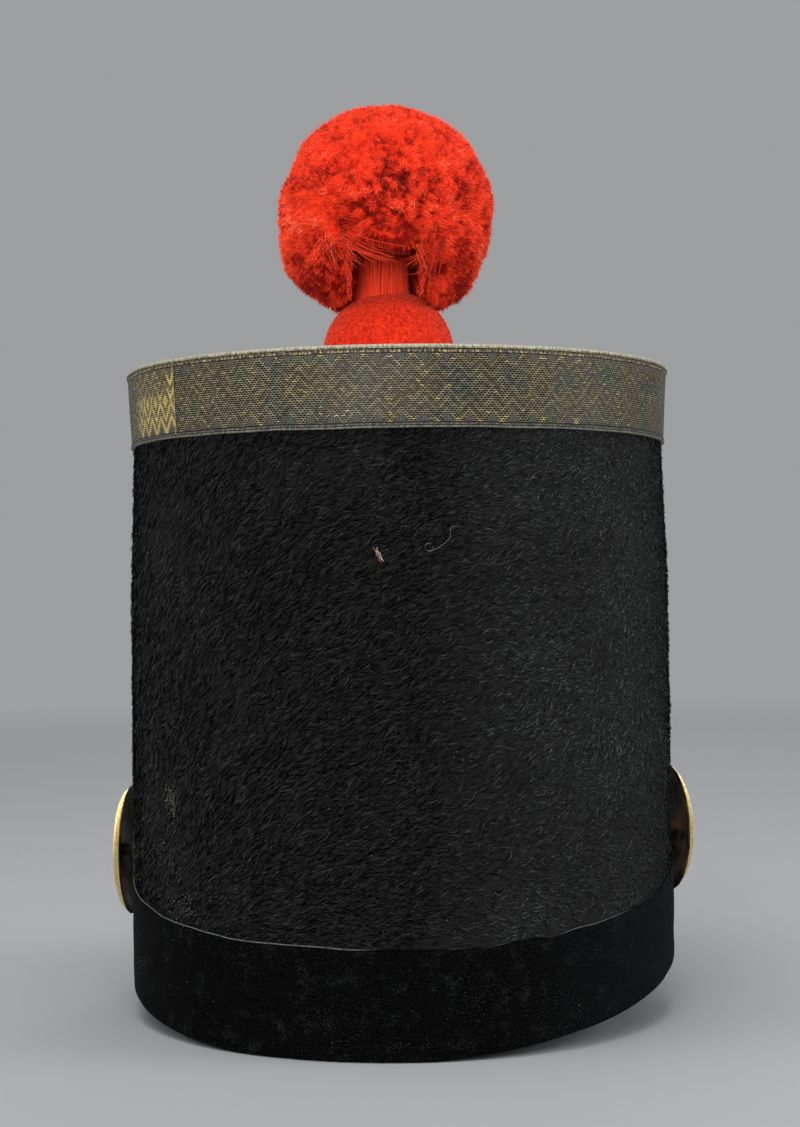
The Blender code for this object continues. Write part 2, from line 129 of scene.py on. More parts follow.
def meshFrom(bm, name, crease=40.0):
    mesh = bpy.data.meshes.new(name)
    bm.to_mesh(mesh)
    bm.free()
    mesh.shade_smooth()
    mesh.set_sharp_from_angle(angle=math.radians(crease))
    return mesh


def moveVerts(bm, points):
    for vert, point in zip(bm.verts, points):
        vert.co = point


def addAttribute(mesh, name, kind, field, values):
    layer = mesh.attributes.new(name, kind, "POINT")
    layer.data.foreach_set(field, values.astype(np.float32).ravel())


def extrudeRow(bm, edges, shift):
    # carries a row of edges on by one step
    grown = bmesh.ops.extrude_edge_only(bm, edges=edges)["geom"]
    verts = [g for g in grown if isinstance(g, bmesh.types.BMVert)]
    bmesh.ops.translate(bm, verts=verts, vec=shift)
    return verts, [g for g in grown if isinstance(g, bmesh.types.BMEdge) and all(v in verts for v in g.verts)]


def spinRound(bm, steps):
    bmesh.ops.spin(bm, geom=bm.verts[:] + bm.edges[:], angle=math.tau, steps=steps, axis=(0, 0, 1),
                   cent=(0, 0, 0), use_merge=True)
    bmesh.ops.recalc_face_normals(bm, faces=bm.faces)


def strandShape(sides, levels, pointed):
    # one strand standing up Z, a level to a metre: a flat blade with 2 sides, or a rod
    bm = bmesh.new()
    if sides == 2:
        bm.edges.new((bm.verts.new((1, 0, 0)), bm.verts.new((-1, 0, 0))))
    else:
        bmesh.ops.create_circle(bm, segments=sides, radius=1.0)
    edges = bm.edges[:]
    for level in range(levels):
        verts, edges = extrudeRow(bm, edges, (0, 0, 1))
    if pointed:
        bmesh.ops.pointmerge(bm, verts=verts, merge_co=(0, 0, levels))
    elif sides > 2:
        bmesh.ops.edgeloop_fill(bm, edges=edges)
    if sides > 2:
        bmesh.ops.recalc_face_normals(bm, faces=bm.faces)
    bmesh.ops.triangulate(bm, faces=bm.faces)
    bm.verts.index_update()
    coords = np.array([v.co for v in bm.verts])
    faces = np.array([[v.index for v in f.verts] for f in bm.faces])
    bm.free()
    return coords, faces


def joinStrands(name, material, paths, facing, half, tones, taper=(1.0,), sides=2, pointed=True,
                nodeName=None):
    # paths: a point a level for each strand; facing: its directions across and outward; half: its half width
    coords, faces = strandShape(sides, paths.shape[1] - 1, pointed)
    count, each = len(paths), len(coords)
    level = np.rint(coords[:, 2]).astype(int)
    wide = np.broadcast_to(np.reshape(half, (-1, 1)) * np.array(taper), paths.shape[:2])[:, level, None]
    tones = np.broadcast_to(tones, count)[:, None]
    across, outward = facing
    verts = paths[:, level] + across * coords[None, :, 0, None] * wide
    verts = verts + outward * coords[None, :, 1, None] * wide
    corners = (faces[None] + (np.arange(count) * each)[:, None, None]).reshape(-1)
    mesh = bpy.data.meshes.new(name)
    mesh.vertices.add(count * each)
    mesh.vertices.foreach_set("co", verts.astype(np.float32).ravel())
    mesh.loops.add(len(corners))
    mesh.loops.foreach_set("vertex_index", corners.astype(np.int32))
    mesh.polygons.add(len(corners) // 3)
    mesh.polygons.foreach_set("loop_start", np.arange(0, len(corners), 3, dtype=np.int32))
    mesh.update(calc_edges=True)
    mesh.shade_smooth()
    # the attribute fibre holds mm across, mm along and the tone, each strand on a stretch of its own
    gone = np.linalg.norm(np.diff(paths, axis=1), axis=2)
    along = np.concatenate((np.zeros((count, 1)), np.cumsum(gone, axis=1)), 1) * 1000
    side = coords[None, :, 0] * wide[..., 0] * 1000 + coords[None, :, 1] * wide[..., 0] * 700 + tones * 91.7
    fibre = np.stack((side, along[:, level] + tones * 37.3, np.repeat(tones, each, 1)), -1)
    addAttribute(mesh, "fibre", "FLOAT_VECTOR", "vector", fibre)
    addAttribute(mesh, "grown", "FLOAT", "value", np.tile(level / level.max(), count))
    addPiece(mesh, material, nodeName)


def chord(paths):
    return unit(paths[:, -1] - paths[:, 0])


def crossFrame(run, rng):
    # two directions square to each strand, turned at random
    first = unit(np.cross(run, unit(rng.normal(0, 1, run.shape))))
    return first[:, None], unit(np.cross(run, first))[:, None]


class Wire:
    # a node's output, which adds and multiplies like a number, each time with a node of its own

    def __init__(self, tree, socket):
        self.tree = tree
        self.socket = socket

    def math(self, operation, *others):
        return addNode(self.tree, "ShaderNodeMath", dict(enumerate((self, *others))), operation=operation)

    def __add__(self, other):
        return self.math("ADD", other)

    def __sub__(self, other):
        return self.math("SUBTRACT", other)

    def __rsub__(self, other):
        return self * -1.0 + other

    def __mul__(self, other):
        return self.math("MULTIPLY", other)

    def __truediv__(self, other):
        return self.math("DIVIDE", other)

    def __gt__(self, other):
        return self.math("GREATER_THAN", other)

    def __lt__(self, other):
        return self.math("LESS_THAN", other)

    def __abs__(self):
        return self.math("ABSOLUTE")

    def most(self, other):
        return self.math("MAXIMUM", other)

    def part(self, axis):
        return addNode(self.tree, "ShaderNodeSeparateXYZ", {0: self}, axis)

    def stretch(self, low, high, newLow=0.0, newHigh=1.0):
        inputs = {"Value": self, "From Min": low, "From Max": high, "To Min": newLow, "To Max": newHigh}
        return addNode(self.tree, "ShaderNodeMapRange", inputs, interpolation_type="SMOOTHSTEP")

    def cloudy(self, scale, detail=3.0, roughness=0.55, size=(1.0, 1.0, 1.0)):
        spread = addNode(self.tree, "ShaderNodeMapping", {"Vector": self, "Scale": size})
        inputs = {"Vector": spread, "Scale": scale, "Detail": detail, "Roughness": roughness}
        return addNode(self.tree, "ShaderNodeTexNoise", inputs, "Fac")

    def blend(self, first, second):
        # self is the second colour's share
        return addNode(self.tree, "ShaderNodeMix", {0: self, 6: first, 7: second}, 2, data_type="RGBA")


def feed(socket, value):
    if isinstance(value, Wire):
        value.tree.links.new(value.socket, socket)
    else:
        socket.default_value = (*value, 1.0) if socket.type == "RGBA" else value


def placeNode(tree, kind, inputs, settings):
    node = tree.nodes.new(kind)
    for name, value in settings.items():
        setattr(node, name, value)
    for key, value in inputs.items():
        feed(node.inputs[key], value)
    return node


def addNode(tree, kind, inputs, output=0, **settings):
    return Wire(tree, placeNode(tree, kind, inputs, settings).outputs[output])


def objectPlace(tree):
    return addNode(tree, "ShaderNodeTexCoord", {}, "Object")


def weaveMap(tree):
    return addNode(tree, "ShaderNodeUVMap", {}, uv_map="weave")


def attribute(tree, name, output="Fac"):
    return addNode(tree, "ShaderNodeAttribute", {}, output, attribute_name=name)


def colour(*screen):
    # from a 0 to 255 screen colour to the light it stands for
    return tuple((v / 255 / 12.92) if v < 10.3 else ((v / 255 + 0.055) / 1.055) ** 2.4 for v in screen)


def newMaterial(name):
    material = bpy.data.materials.new(name)
    material.use_nodes = True
    return material, material.node_tree


def finishMaterial(material, values, height=None, distance=0.0, strength=1.0):
    # values are numbers, colours or wires for the shader; height is a wire for its relief
    tree = material.node_tree
    if height is not None:
        relief = {"Height": height, "Distance": distance, "Strength": strength}
        values["Normal"] = addNode(tree, "ShaderNodeBump", relief)
    for key, value in values.items():
        feed(tree.nodes["Principled BSDF"].inputs[key], value)
    return material


def newGroup(name, inputs):
    group = bpy.data.node_groups.new(name, "ShaderNodeTree")
    for label, value in inputs.items():
        socket = group.interface.new_socket(label, in_out="INPUT", socket_type="NodeSocketFloat")
        socket.default_value = value
    given = group.nodes.new("NodeGroupInput").outputs
    return group, {label: Wire(group, given[label]) for label in inputs}


def finishGroup(group, outputs):
    for label, wire in outputs.items():
        kind = "NodeSocketColor" if wire.socket.type == "RGBA" else "NodeSocketFloat"
        group.interface.new_socket(label, in_out="OUTPUT", socket_type=kind)
    end = group.nodes.new("NodeGroupOutput")
    for label, wire in outputs.items():
        feed(end.inputs[label], wire)
    return group


def useGroup(tree, group, inputs):
    node = placeNode(tree, "ShaderNodeGroup", inputs, {"node_tree": group})
    return {socket.name: Wire(tree, socket) for socket in node.outputs}


# Shared effects: hair streaks along a strand, leather grain, and dust that settles in patches.
def streakGroup():
    group, given = newGroup("hairStreaks", {"Fineness": 6.0})
    fibre = attribute(group, "fibre", "Vector")
    streak = fibre.cloudy(given["Fineness"], 2.0, 0.5, (1.0, 0.16, 0.0))
    return finishGroup(group, {"Streak": streak, "Tone": fibre.part("Z")})


def grainGroup():
    group, given = newGroup("leatherGrain", {"Fineness": 1400.0})
    place = objectPlace(group)
    pebble = addNode(group, "ShaderNodeTexVoronoi", {"Vector": place, "Scale": given["Fineness"]}, "Distance",
                     feature="SMOOTH_F1")
    grain = place.cloudy(120.0, 6.0, 0.7) * 1.6 + pebble
    return finishGroup(group, {"Grain": grain, "Scuff": place.cloudy(38.0, 8.0, 0.75).stretch(0.55, 0.78)})


def dustGroup():
    group, given = newGroup("settledDust", {"Amount": 0.3, "Fineness": 900.0})
    place = objectPlace(group)
    specks = addNode(group, "ShaderNodeTexVoronoi", {"Vector": place, "Scale": given["Fineness"]}, "Distance")
    patch = place.cloudy(45.0, 4.0).stretch(0.42, 0.72)
    return finishGroup(group, {"Dust": specks.stretch(0.22, 0.08) * patch * given["Amount"]})


hairStreaks = streakGroup()
leatherGrain = grainGroup()
settledDust = dustGroup()


def napMaterial():
    material, tree = newMaterial("brushedNap")
    streaks = useGroup(tree, hairStreaks, {"Fineness": 5.5})
    tone, streak = streaks["Tone"], streaks["Streak"]
    # each hair darkens towards its root: painted shade
    shade = (tone * 0.6 + streak * 0.4) * (attribute(tree, "grown") * 0.5 + 0.6)
    dark = shade.stretch(0.24, 0.84).blend((0.0006, 0.0006, 0.0006), (0.0106, 0.0108, 0.0106))
    pale = tone.stretch(0.86, 1.0) * streak.stretch(0.3, 0.6)
    hair = (pale * 0.9).blend(dark, (0.048, 0.049, 0.048))
    # fine dust greys it in patches; the grey along the hair that grows towards the wearer's right is painted
    # sheen
    place = objectPlace(tree)
    patches = place.cloudy(24.0, 5.0, 0.7).stretch(0.50, 0.72) * 0.16
    sheenMottle = place.cloudy(30.0, 3.0).stretch(0.36, 0.62) * 0.40 + 0.50
    dustAndSheen = place.part("X").stretch(0.000, 0.060) * sheenMottle + patches
    grains = place.cloudy(1150.0, 2.0).stretch(0.42, 0.64)
    strokes = (tone * 0.55 + streak * 0.45).stretch(0.26, 0.74)
    dustedAndSheened = (dustAndSheen * (strokes * 0.72 + grains * 0.26 + 0.04)).blend(hair, (0.100, 0.108, 0.104))
    return finishMaterial(material, {
        "Roughness": 0.9, "Specular IOR Level": 0.0, "Base Color": dustedAndSheened}, streak, 0.0002, 0.9)


def feltMaterial():
    material, tree = newMaterial("pressedFelt")
    matted = objectPlace(tree).cloudy(900.0, 4.0, 0.65)
    mottled = matted.blend((0.0030, 0.0029, 0.0030), (0.0125, 0.0120, 0.0115))
    dust = useGroup(tree, settledDust, {"Amount": 0.5})["Dust"]
    return finishMaterial(material, {
        "Roughness": 0.9, "Sheen Weight": 0.05, "Specular IOR Level": 0.2,
        "Base Color": dust.blend(mottled, colour(96, 92, 84))}, matted, 0.0005)


def velvetMaterial():
    material, tree = newMaterial("blackVelvet")
    weave = weaveMap(tree)
    ribs = weave.cloudy(1.1, 3.0, 0.6, (0.12, 2.0, 1.0))
    pile = weave.cloudy(1.5, 3.0, 0.75)
    rubbed = (ribs * 0.22 + pile * 0.78).stretch(0.44, 0.68)
    base = rubbed.blend((0.0003, 0.0003, 0.0003), (0.0052, 0.0053, 0.0054))
    fluff = weave.cloudy(0.16, 6.0, 0.75).stretch(0.50, 0.74)
    base = (fluff * pile.stretch(0.36, 0.64)).blend(base, (0.019, 0.020, 0.020))
    # brighter and bluer towards the wearer's right: painted sheen
    paintedSheen = objectPlace(tree).part("X").stretch(0.02, 0.08) * (rubbed * 0.6 + 0.12)
    base = paintedSheen.blend(base, (0.0150, 0.0160, 0.0190))
    dust = useGroup(tree, settledDust, {"Amount": 0.24, "Fineness": 1300.0})["Dust"]
    return finishMaterial(material, {
        "Roughness": 0.85, "Sheen Weight": 0.010, "Sheen Roughness": 0.3, "Sheen Tint": (0.62, 0.66, 0.75),
        "Specular IOR Level": 0.03, "Base Color": dust.blend(base, colour(120, 120, 118))},
        ribs * 1.2 + pile, 0.0003, 0.7)


def leatherMaterial(name, shine, dulled, tint):
    material, tree = newMaterial(name)
    grain = useGroup(tree, leatherGrain, {"Fineness": 1100.0})
    base = grain["Scuff"].blend(tint, tuple(v * 3.2 + 0.006 for v in tint))
    dust = useGroup(tree, settledDust, {"Amount": 0.35, "Fineness": 800.0})["Dust"]
    rough = grain["Scuff"].stretch(0.0, 1.0, 0.34 + dulled, 0.62 + dulled)
    return finishMaterial(material, {
        "Specular IOR Level": 0.32, "Coat Weight": shine, "Coat Roughness": 0.22, "Roughness": rough,
        "Base Color": dust.blend(base, colour(110, 106, 98))}, grain["Grain"], 0.00022, 0.6)


def brassMaterial(name, hollowed):
    material, tree = newMaterial(name)
    place = objectPlace(tree)
    stain = place.cloudy(110.0, 8.0, 0.75).stretch(0.48, 0.80)
    scratch = place.cloudy(500.0, 4.0, 0.6, (1.0, 0.12, 1.0))
    pits = place.cloudy(950.0, 4.0, 0.7).stretch(0.53, 0.68)
    gilt = pits.blend(stain.blend(colour(240, 212, 128), colour(196, 164, 92)), colour(104, 80, 40))
    rough = stain * 0.16 + (0.34 if hollowed else 0.26)
    metallic = 1.0
    if hollowed:
        # the back of a boss is bare brown brass, dulled
        sideways = addNode(tree, "ShaderNodeNewGeometry", {}, "Normal").part("X")
        hollow = (sideways * place.part("X").math("SIGN")).stretch(0.42, 0.22)
        marbled = place.cloudy(150.0, 4.0, 0.6).stretch(0.40, 0.62)
        gilt = hollow.blend(gilt, marbled.blend(colour(30, 21, 14), colour(128, 98, 70)))
        rough = hollow * 0.3 + rough
        metallic = hollow * -0.85 + 1.0
    return finishMaterial(material, {"Metallic": metallic, "Base Color": gilt, "Roughness": rough},
                          scratch + stain - pits, 0.00016, 0.6)


def ironMaterial():
    material, tree = newMaterial("ironWire")
    rust = objectPlace(tree).cloudy(420.0, 5.0, 0.7).stretch(0.45, 0.7)
    return finishMaterial(material, {
        "Metallic": 0.9, "Base Color": rust.blend((0.12, 0.115, 0.11), (0.075, 0.035, 0.018)),
        "Roughness": rust * 0.35 + 0.4}, rust, 0.0001)


def woolMaterial(name, deep, bright, tipped):
    material, tree = newMaterial(name)
    streaks = useGroup(tree, hairStreaks, {"Fineness": 3.5})
    tone, streak = streaks["Tone"], streaks["Streak"]
    # each strand darkens towards its root: painted shade
    shade = attribute(tree, "grown") * 0.22 + (streak * 0.35 + tone * 0.65 - 0.12)
    base = shade.stretch(0.18, 0.62).blend(colour(*deep), colour(*bright))
    pale = (tone * streak).stretch(0.42, 0.62)
    return finishMaterial(material, {
        "Roughness": 0.9, "Sheen Weight": 0.22, "Sheen Roughness": 0.5, "Sheen Tint": (1.0, 0.40, 0.26),
        "Specular IOR Level": 0.1, "Base Color": pale.blend(base, colour(*tipped))}, streak, 0.0003, 0.6)


def feltedWoolMaterial(name, deep, bright, paintedShade):
    # the matted wool under the tips, with painted shade in its creases
    material, tree = newMaterial(name)
    place = objectPlace(tree)
    shade = place.cloudy(620.0, 4.0, 0.65) * 0.65 + place.cloudy(2300.0, 2.0, 0.6) * 0.35
    base = shade.stretch(0.36, 0.62).blend(colour(*deep), colour(*bright))
    return finishMaterial(material, {
        "Roughness": 0.95, "Sheen Weight": 0.25, "Sheen Roughness": 0.5, "Sheen Tint": (1.0, 0.40, 0.26),
        "Specular IOR Level": 0.08, "Base Color": attribute(tree, "crease").blend(base, colour(*paintedShade))},
        shade, 0.0006, 0.8)


def plainThread(name, tint):
    material, tree = newMaterial(name)
    twist = objectPlace(tree).cloudy(2600.0, 2.0)
    base = twist.blend(tuple(v * 0.55 for v in tint), tint)
    return finishMaterial(material, {"Roughness": 0.8, "Base Color": base}, twist, 0.0001)


def wornThread(name, tint, faded):
    # the thread shows in places, most towards both sides, and is dark between them
    material, tree = newMaterial(name)
    place = objectPlace(tree)
    sideways = place.part("X")
    left = sideways.stretch(-0.008, -0.020)
    right = abs(sideways - 0.054).stretch(0.014, 0.007) * 0.7
    traces = place.cloudy(34.0, 6.0, 0.75).stretch(0.44, 0.60) * 0.35
    fine = place.cloudy(900.0, 3.0, 0.6)
    shown = traces.most(left.most(right)) * fine
    return finishMaterial(material, {
        "Roughness": 0.9, "Specular IOR Level": 0.0, "Base Color": shown.blend(faded, tint)}, fine, 0.0001)


def lintMaterial():
    material, tree = newMaterial("lintFibre")
    tone = useGroup(tree, hairStreaks, {"Fineness": 3.0})["Tone"]
    warm = tone.stretch(0.0, 0.5).blend(colour(110, 36, 40), colour(236, 158, 96))
    return finishMaterial(material, {
        "Roughness": 0.8, "Base Color": tone.stretch(0.45, 0.8).blend(warm, colour(250, 244, 232))})


laceLap = {
    "from": 196.0,
    "to": 218.2,
    "out": 0.00022,
    "thickness": 0.00016,
    "fray": 0.10,
    "steps": 40,
    "shift": 2.3,  # mm by which its figure stands further round
}

# The lace's figure in millimetres: plain triangles on both borders, chevrons of dots between them.
laceFigure = {
    "pitch": 6.6,
    "start": 1.05,
    "width": 24.0,
    "foot": 1.75,
    "head": 2.7,
    "triangle": (3.3, 2.7),
    "chevron": (3.6, 3.1),
    "dot": (1.13, 0.635),
    "rib": 0.8,
    "lines": ((0.62, 0.86), (1.36, 1.75), (21.30, 21.62), (22.42, 22.72)),
}


def figureGroup():
    group, given = newGroup("laceFigure", {"Gold": 0.0, "Rows": 0.0})
    weave = weaveMap(group)
    u, flat = weave.part("X"), weave.part("Y")
    wander = (weave.cloudy(0.055, 2.0) - 0.5) * 1.6
    v = wander * 0.35 + flat
    turn = ((u - laceFigure["start"] + wander) / laceFigure["pitch"]).math("FRACT")
    peak = 1.0 - abs(turn * 2.0 - 1.0)
    half = (laceFigure["width"] - laceFigure["foot"] - laceFigure["head"]) / 2
    toEdge = half - abs(v - (laceFigure["foot"] + half))
    # plain triangles stand on the borders
    wide, tall = laceFigure["triangle"]
    between = 1 - wide / laceFigure["pitch"]
    plainShare = ((peak - between) * (tall / (1 - between)) - toEdge).stretch(-0.15, 0.3)
    # chevrons run inwards from them, and lie wider apart on the lapped end
    sway, gap = laceFigure["chevron"]
    step = toEdge - peak * (given["Rows"] * 1.4 + sway)
    chevron = step.math("PINGPONG", (given["Rows"] * 1.1 + gap) * 0.5).stretch(0.40, 1.15)
    # rows of dots, each row shifted by half a dot
    dotWide, dotTall = laceFigure["dot"]
    row = v / dotTall
    column = row.math("FLOOR").math("MODULO", 2.0) * 0.5 + u / dotWide
    away = row.math("PINGPONG", 0.5) * 1.1 + column.math("PINGPONG", 0.5)
    blotch = weave.cloudy(0.14, 4.0, 0.65)
    size = chevron * -0.06 + (blotch * -0.24 + 0.575)
    thread = (away - size).stretch(0.06, -0.10)
    cell = addNode(group, "ShaderNodeCombineXYZ", {0: column.math("ROUND"), 1: row.math("ROUND")})
    chance = addNode(group, "ShaderNodeTexWhiteNoise", {"Vector": cell}, "Value", noise_dimensions="3D")
    tone = weave.cloudy(0.11, 5.0, 0.7).stretch(0.38, 0.56).blend(colour(140, 135, 106), colour(148, 130, 86))
    for share, tint in (
        (weave.cloudy(0.09, 3.0, 0.6).stretch(0.5, 0.62), colour(120, 121, 106)),
        (chance.stretch(0.4, 1.0) * 0.52, colour(196, 186, 142)),
        (chance.stretch(0.3, 0.0) * 0.55, colour(74, 66, 50)),
        (chevron * 0.32, colour(66, 60, 48)),
    ):
        tone = share.blend(tone, tint)
    # the lapped end keeps more of its gold, low down and near its cut edge
    cut = float(arcAtAngle(laceLap["to"])) * 1000 + laceLap["shift"]
    lapped = given["Rows"] * u.stretch(cut - 36.0, cut - 24.0)
    lowDown = v.stretch(15.5, 11.5, 0.15, 1.0).most(u.stretch(cut - 5.5, cut - 3.0))
    worn = weave.cloudy(0.35, 4.0, 0.7).stretch(0.36, 0.50)
    rows = chevron.stretch(0.85, 0.45) * (lapped * (worn * lowDown))
    # elsewhere it shows in single threads, most at the tips that touch the borders
    tip = peak.stretch(0.42, 0.05) * toEdge.stretch(2.6, 0.2)
    kept = tip * 0.20 + (blotch.stretch(0.50, 0.72) * 0.05 + 0.010)
    kept = (given["Gold"] + rows) * blotch.stretch(0.28, 0.46) + kept
    gold = ((chance > 1.0 - kept) * thread).most(rows * (thread * 0.5 + 0.45))
    fresh = lapped * (lowDown * 0.55 + 0.15)
    tone = (fresh * 0.85).blend(tone, colour(204, 176, 108))
    field = thread.blend(fresh.blend(colour(6, 5, 4), colour(70, 57, 32)), tone)
    ribbing = (u / laceFigure["rib"]).math("PINGPONG", 0.5).stretch(0.05, 0.3)
    ground = plainShare.blend(gold.blend(field, colour(228, 206, 134)),
                              ribbing.blend(colour(46, 44, 38), colour(80, 78, 68)))
    # ribs and dark lines of stitching along both edges
    fleck = weave.cloudy(1.5, 4.0, 0.7, (1.0, 0.45, 1.0))
    rib = fleck.stretch(0.38, 0.62).blend(colour(40, 40, 37), colour(108, 106, 97))
    giltRib = fleck.stretch(0.5, 0.62).blend(rib, colour(206, 178, 108))
    # the turn over the top is pale, and the lowest edge a little paler: painted highlight
    foldHighlight = fleck.stretch(0.36, 0.62).blend(colour(122, 117, 98), colour(186, 180, 156))
    foot = v < laceFigure["foot"]
    head = v > laceFigure["width"] - laceFigure["head"]
    highlightShare = (flat < laceFigure["lines"][0][0]) * 0.22 + (flat > laceFigure["lines"][-1][1])
    shown = highlightShare.blend(head.blend(foot.blend(ground, rib), giltRib), foldHighlight)
    groove = 0.0
    for low, high in laceFigure["lines"]:
        groove = v.math("COMPARE", (low + high) / 2, (high - low) / 2).most(groove)
    edged = foot.most(head).most(plainShare)
    return finishGroup(group, {
        "Colour": groove.blend(shown, colour(20, 18, 14)),
        "Height": (edged * fleck).most(thread * 0.8) - groove,
        "Metal": gold * (1.0 - edged) * 0.35})


laceGroup = figureGroup()


def laceMaterial(name, gold, rows):
    material, tree = newMaterial(name)
    figure = useGroup(tree, laceGroup, {"Gold": gold, "Rows": rows})
    return finishMaterial(material, {
        "Roughness": 0.55, "Sheen Weight": 0.01, "Specular IOR Level": 0.3, "Base Color": figure["Colour"],
        "Metallic": figure["Metal"]}, figure["Height"], 0.00018, 0.8)


brushedNap = napMaterial()
pressedFelt = feltMaterial()
blackVelvet = velvetMaterial()
patentLeather = leatherMaterial("patentLeather", 0.7, 0.0, (0.0055, 0.0052, 0.0050))
waxedLeather = leatherMaterial("waxedLeather", 0.05, 0.16, (0.0085, 0.0075, 0.0068))
wornGilding = brassMaterial("wornGilding", False)
bossGilding = brassMaterial("bossGilding", True)
ironWire = ironMaterial()
scarletWool = woolMaterial("scarletWool", (140, 8, 5), (253, 68, 36), (255, 128, 88))
clippedWool = woolMaterial("clippedWool", (206, 30, 14), (252, 68, 36), (255, 122, 80))
# a brighter copy of the wool for the neck: painted light where the ball above shades it
neckWool = woolMaterial("neckWool", (255, 54, 30), (255, 76, 46), (255, 110, 76))
# its last colour is painted shade, for creases and hollows
feltedWool = feltedWoolMaterial("feltedWool", (190, 22, 10), (246, 58, 28), (116, 9, 5))
tarnishedLace = laceMaterial("tarnishedLace", 0.0, 0.0)
brightLace = laceMaterial("brightLace", 0.10, 1.0)
greyThread = wornThread("greyThread", colour(124, 127, 128), (0.0030, 0.0031, 0.0032))
giltThread = plainThread("giltThread", colour(158, 142, 98))
paleDust = plainThread("paleDust", colour(176, 176, 168))
yellowDust = plainThread("yellowDust", colour(226, 206, 128))
lintFibre = lintMaterial()
print("materials ready")

# Each rigid piece is its solid again, with its triangles merged and shaded smooth.
for nodeName, pieceName, material in (
    ("crown_wall", "crownFelt", pressedFelt),
    ("crown_top", "crownTopLeather", waxedLeather),
    ("peak", "peakLeather", patentLeather),
    ("boss_left", "bossLeftGilt", bossGilding),
    ("boss_right", "bossRightGilt", bossGilding),
    ("strap_long", "strapLongLeather", waxedLeather),
    ("strap_short", "strapShortLeather", waxedLeather),
    ("strap_buckle", "buckleGilt", wornGilding),
    ("pompon_post", "pomponPostWire", ironWire),
    ("pompon_pocket", "pomponPocketLeather", waxedLeather),
):
    bm = bmesh.new()
    bm.from_mesh(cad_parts[nodeName].data)
    bmesh.ops.remove_doubles(bm, verts=bm.verts, dist=0.00001)
    addPiece(meshFrom(bm, pieceName, crease=35.0), material, nodeName)


# Lace and velvet are bands: a profile of millimetres up and out is spun, then laid round the crown.
def wrapBand(name, band, heightAt, wobble, material, nodeName):
    bm = bmesh.new()
    verts = [bm.verts.new((1.0 + out / 1000, 0.0, up / 1000)) for up, out in band["profile"]]
    for pair in zip(verts, verts[1:] + verts[:1]):
        bm.edges.new(pair)
    spinRound(bm, band["steps"])
    flat = np.array([v.co for v in bm.verts])
    angle = np.mod(np.degrees(np.arctan2(flat[:, 1], flat[:, 0])), 360.0)
    out, up = np.hypot(flat[:, 0], flat[:, 1]) - 1.0, flat[:, 2]
    placed = wallPoint(angle, heightAt(angle, up), out)
    placed = placed + wobble(placed, angle, up, out)
    # its map has mm round the crown and mm up, and runs on past the girth in the last step
    arcs, whole = arcAtAngle(angle) * 1000, girth * 1000
    risen = (up + np.maximum(0.0, -out)) * 1000
    layer = bm.loops.layers.uv.new("weave")
    bm.verts.index_update()
    for face in bm.faces:
        steps = [arcs[v.index] for v in face.verts]
        wraps = max(steps) - min(steps) > whole / 2
        for loop, arc in zip(face.loops, steps):
            loop[layer].uv = (arc + whole * (wraps and arc < whole / 2), risen[loop.vert.index])
    moveVerts(bm, placed)
    addPiece(meshFrom(bm, name), material, nodeName)


lace = {
    "top": 0.2034,
    "width": 0.0240,
    "edgeWave": 0.00022,
    "faceWave": 0.00016,
    "steps": 360,
    "profile": (
        # the foot with its ribs, the face, the head with its ribs, and the turn over the felt's top
        (0.0, 0.3), (0.0, 1.25), (0.15, 1.55), (0.45, 1.6), (0.62, 1.35), (0.8, 1.55), (1.1, 1.55),
        (1.3, 1.2), (1.5, 1.1), (1.8, 1.2), *((4.5 + 3.0 * i, 1.2) for i in range(6)), (21.9, 1.2),
        (22.15, 1.1), (22.35, 1.45), (22.75, 1.55), (22.95, 1.3), (23.15, 1.6), (23.5, 1.45),
        (23.8, 1.0), (23.95, 0.3), (23.9, -0.8), (23.7, -2.2), (23.55, -3.0), (22.9, -3.0), (22.9, 0.3),
    ),
}


def laceHeight(angle, up):
    return lace["top"] - lace["width"] + up + topHeight(angle) - crownForm["topHeight"]


def laceWobble(placed, angle, up, out):
    lift = softNoise(placed, 0.014, 3.1) * lace["edgeWave"] * np.clip(1 - up / 0.004, 0, 1)
    swell = softNoise(placed, 0.012, 8.4) * lace["faceWave"]
    return around(np.radians(angle), swell, swell, lift)


def lapAngle(along):
    return laceLap["from"] + (laceLap["to"] - laceLap["from"]) * along


def buildLaceLap():
    # the lapped end: the same band again, cut across and laid over the first
    bm = bmesh.new()
    outer = [bm.verts.new((0.0, out / 1000, up / 1000)) for up, out in lace["profile"] if out > 0.9]
    edges = [bm.edges.new(pair) for pair in zip(outer, outer[1:])]
    for step in range(laceLap["steps"]):
        edges = extrudeRow(bm, edges, (1.0 / laceLap["steps"], 0, 0))[1]
    layer = bm.loops.layers.uv.new("weave")
    for face in bm.faces:
        for loop in face.loops:
            arc = float(arcAtAngle(lapAngle(loop.vert.co.x)))
            loop[layer].uv = (arc * 1000 + laceLap["shift"], loop.vert.co.z * 1000)
    for vert in bm.verts:
        along, out, up = vert.co
        angle = lapAngle(along)
        rise = laceLap["out"] * min(1.0, along * 3.0)
        frayed = laceLap["fray"] * noise.noise((0, 0, up * 900)) if along > 0.999 else 0.0
        vert.co = wallPoint(angle + frayed, laceHeight(angle, up), out + rise)
    bmesh.ops.recalc_face_normals(bm, faces=bm.faces)
    inside = Vector((0, crownForm["axisY"], 0.19))
    if sum(f.normal.dot(f.calc_center_median() - inside) for f in bm.faces) < 0:
        bmesh.ops.reverse_faces(bm, faces=bm.faces)
    bmesh.ops.solidify(bm, geom=bm.faces[:], thickness=laceLap["thickness"])
    addPiece(meshFrom(bm, "laceLappedEnd"), brightLace)


cutEdge = {
    "out": 0.00155,
    "halfWidth": 0.00012,
    "points": 60,
    "ends": 70,
    "endHalfWidth": 0.00010,
    "endLength": (0.15, 0.55),  # degrees round the crown
    "endOut": 0.00145,
    "seed": 5,
}


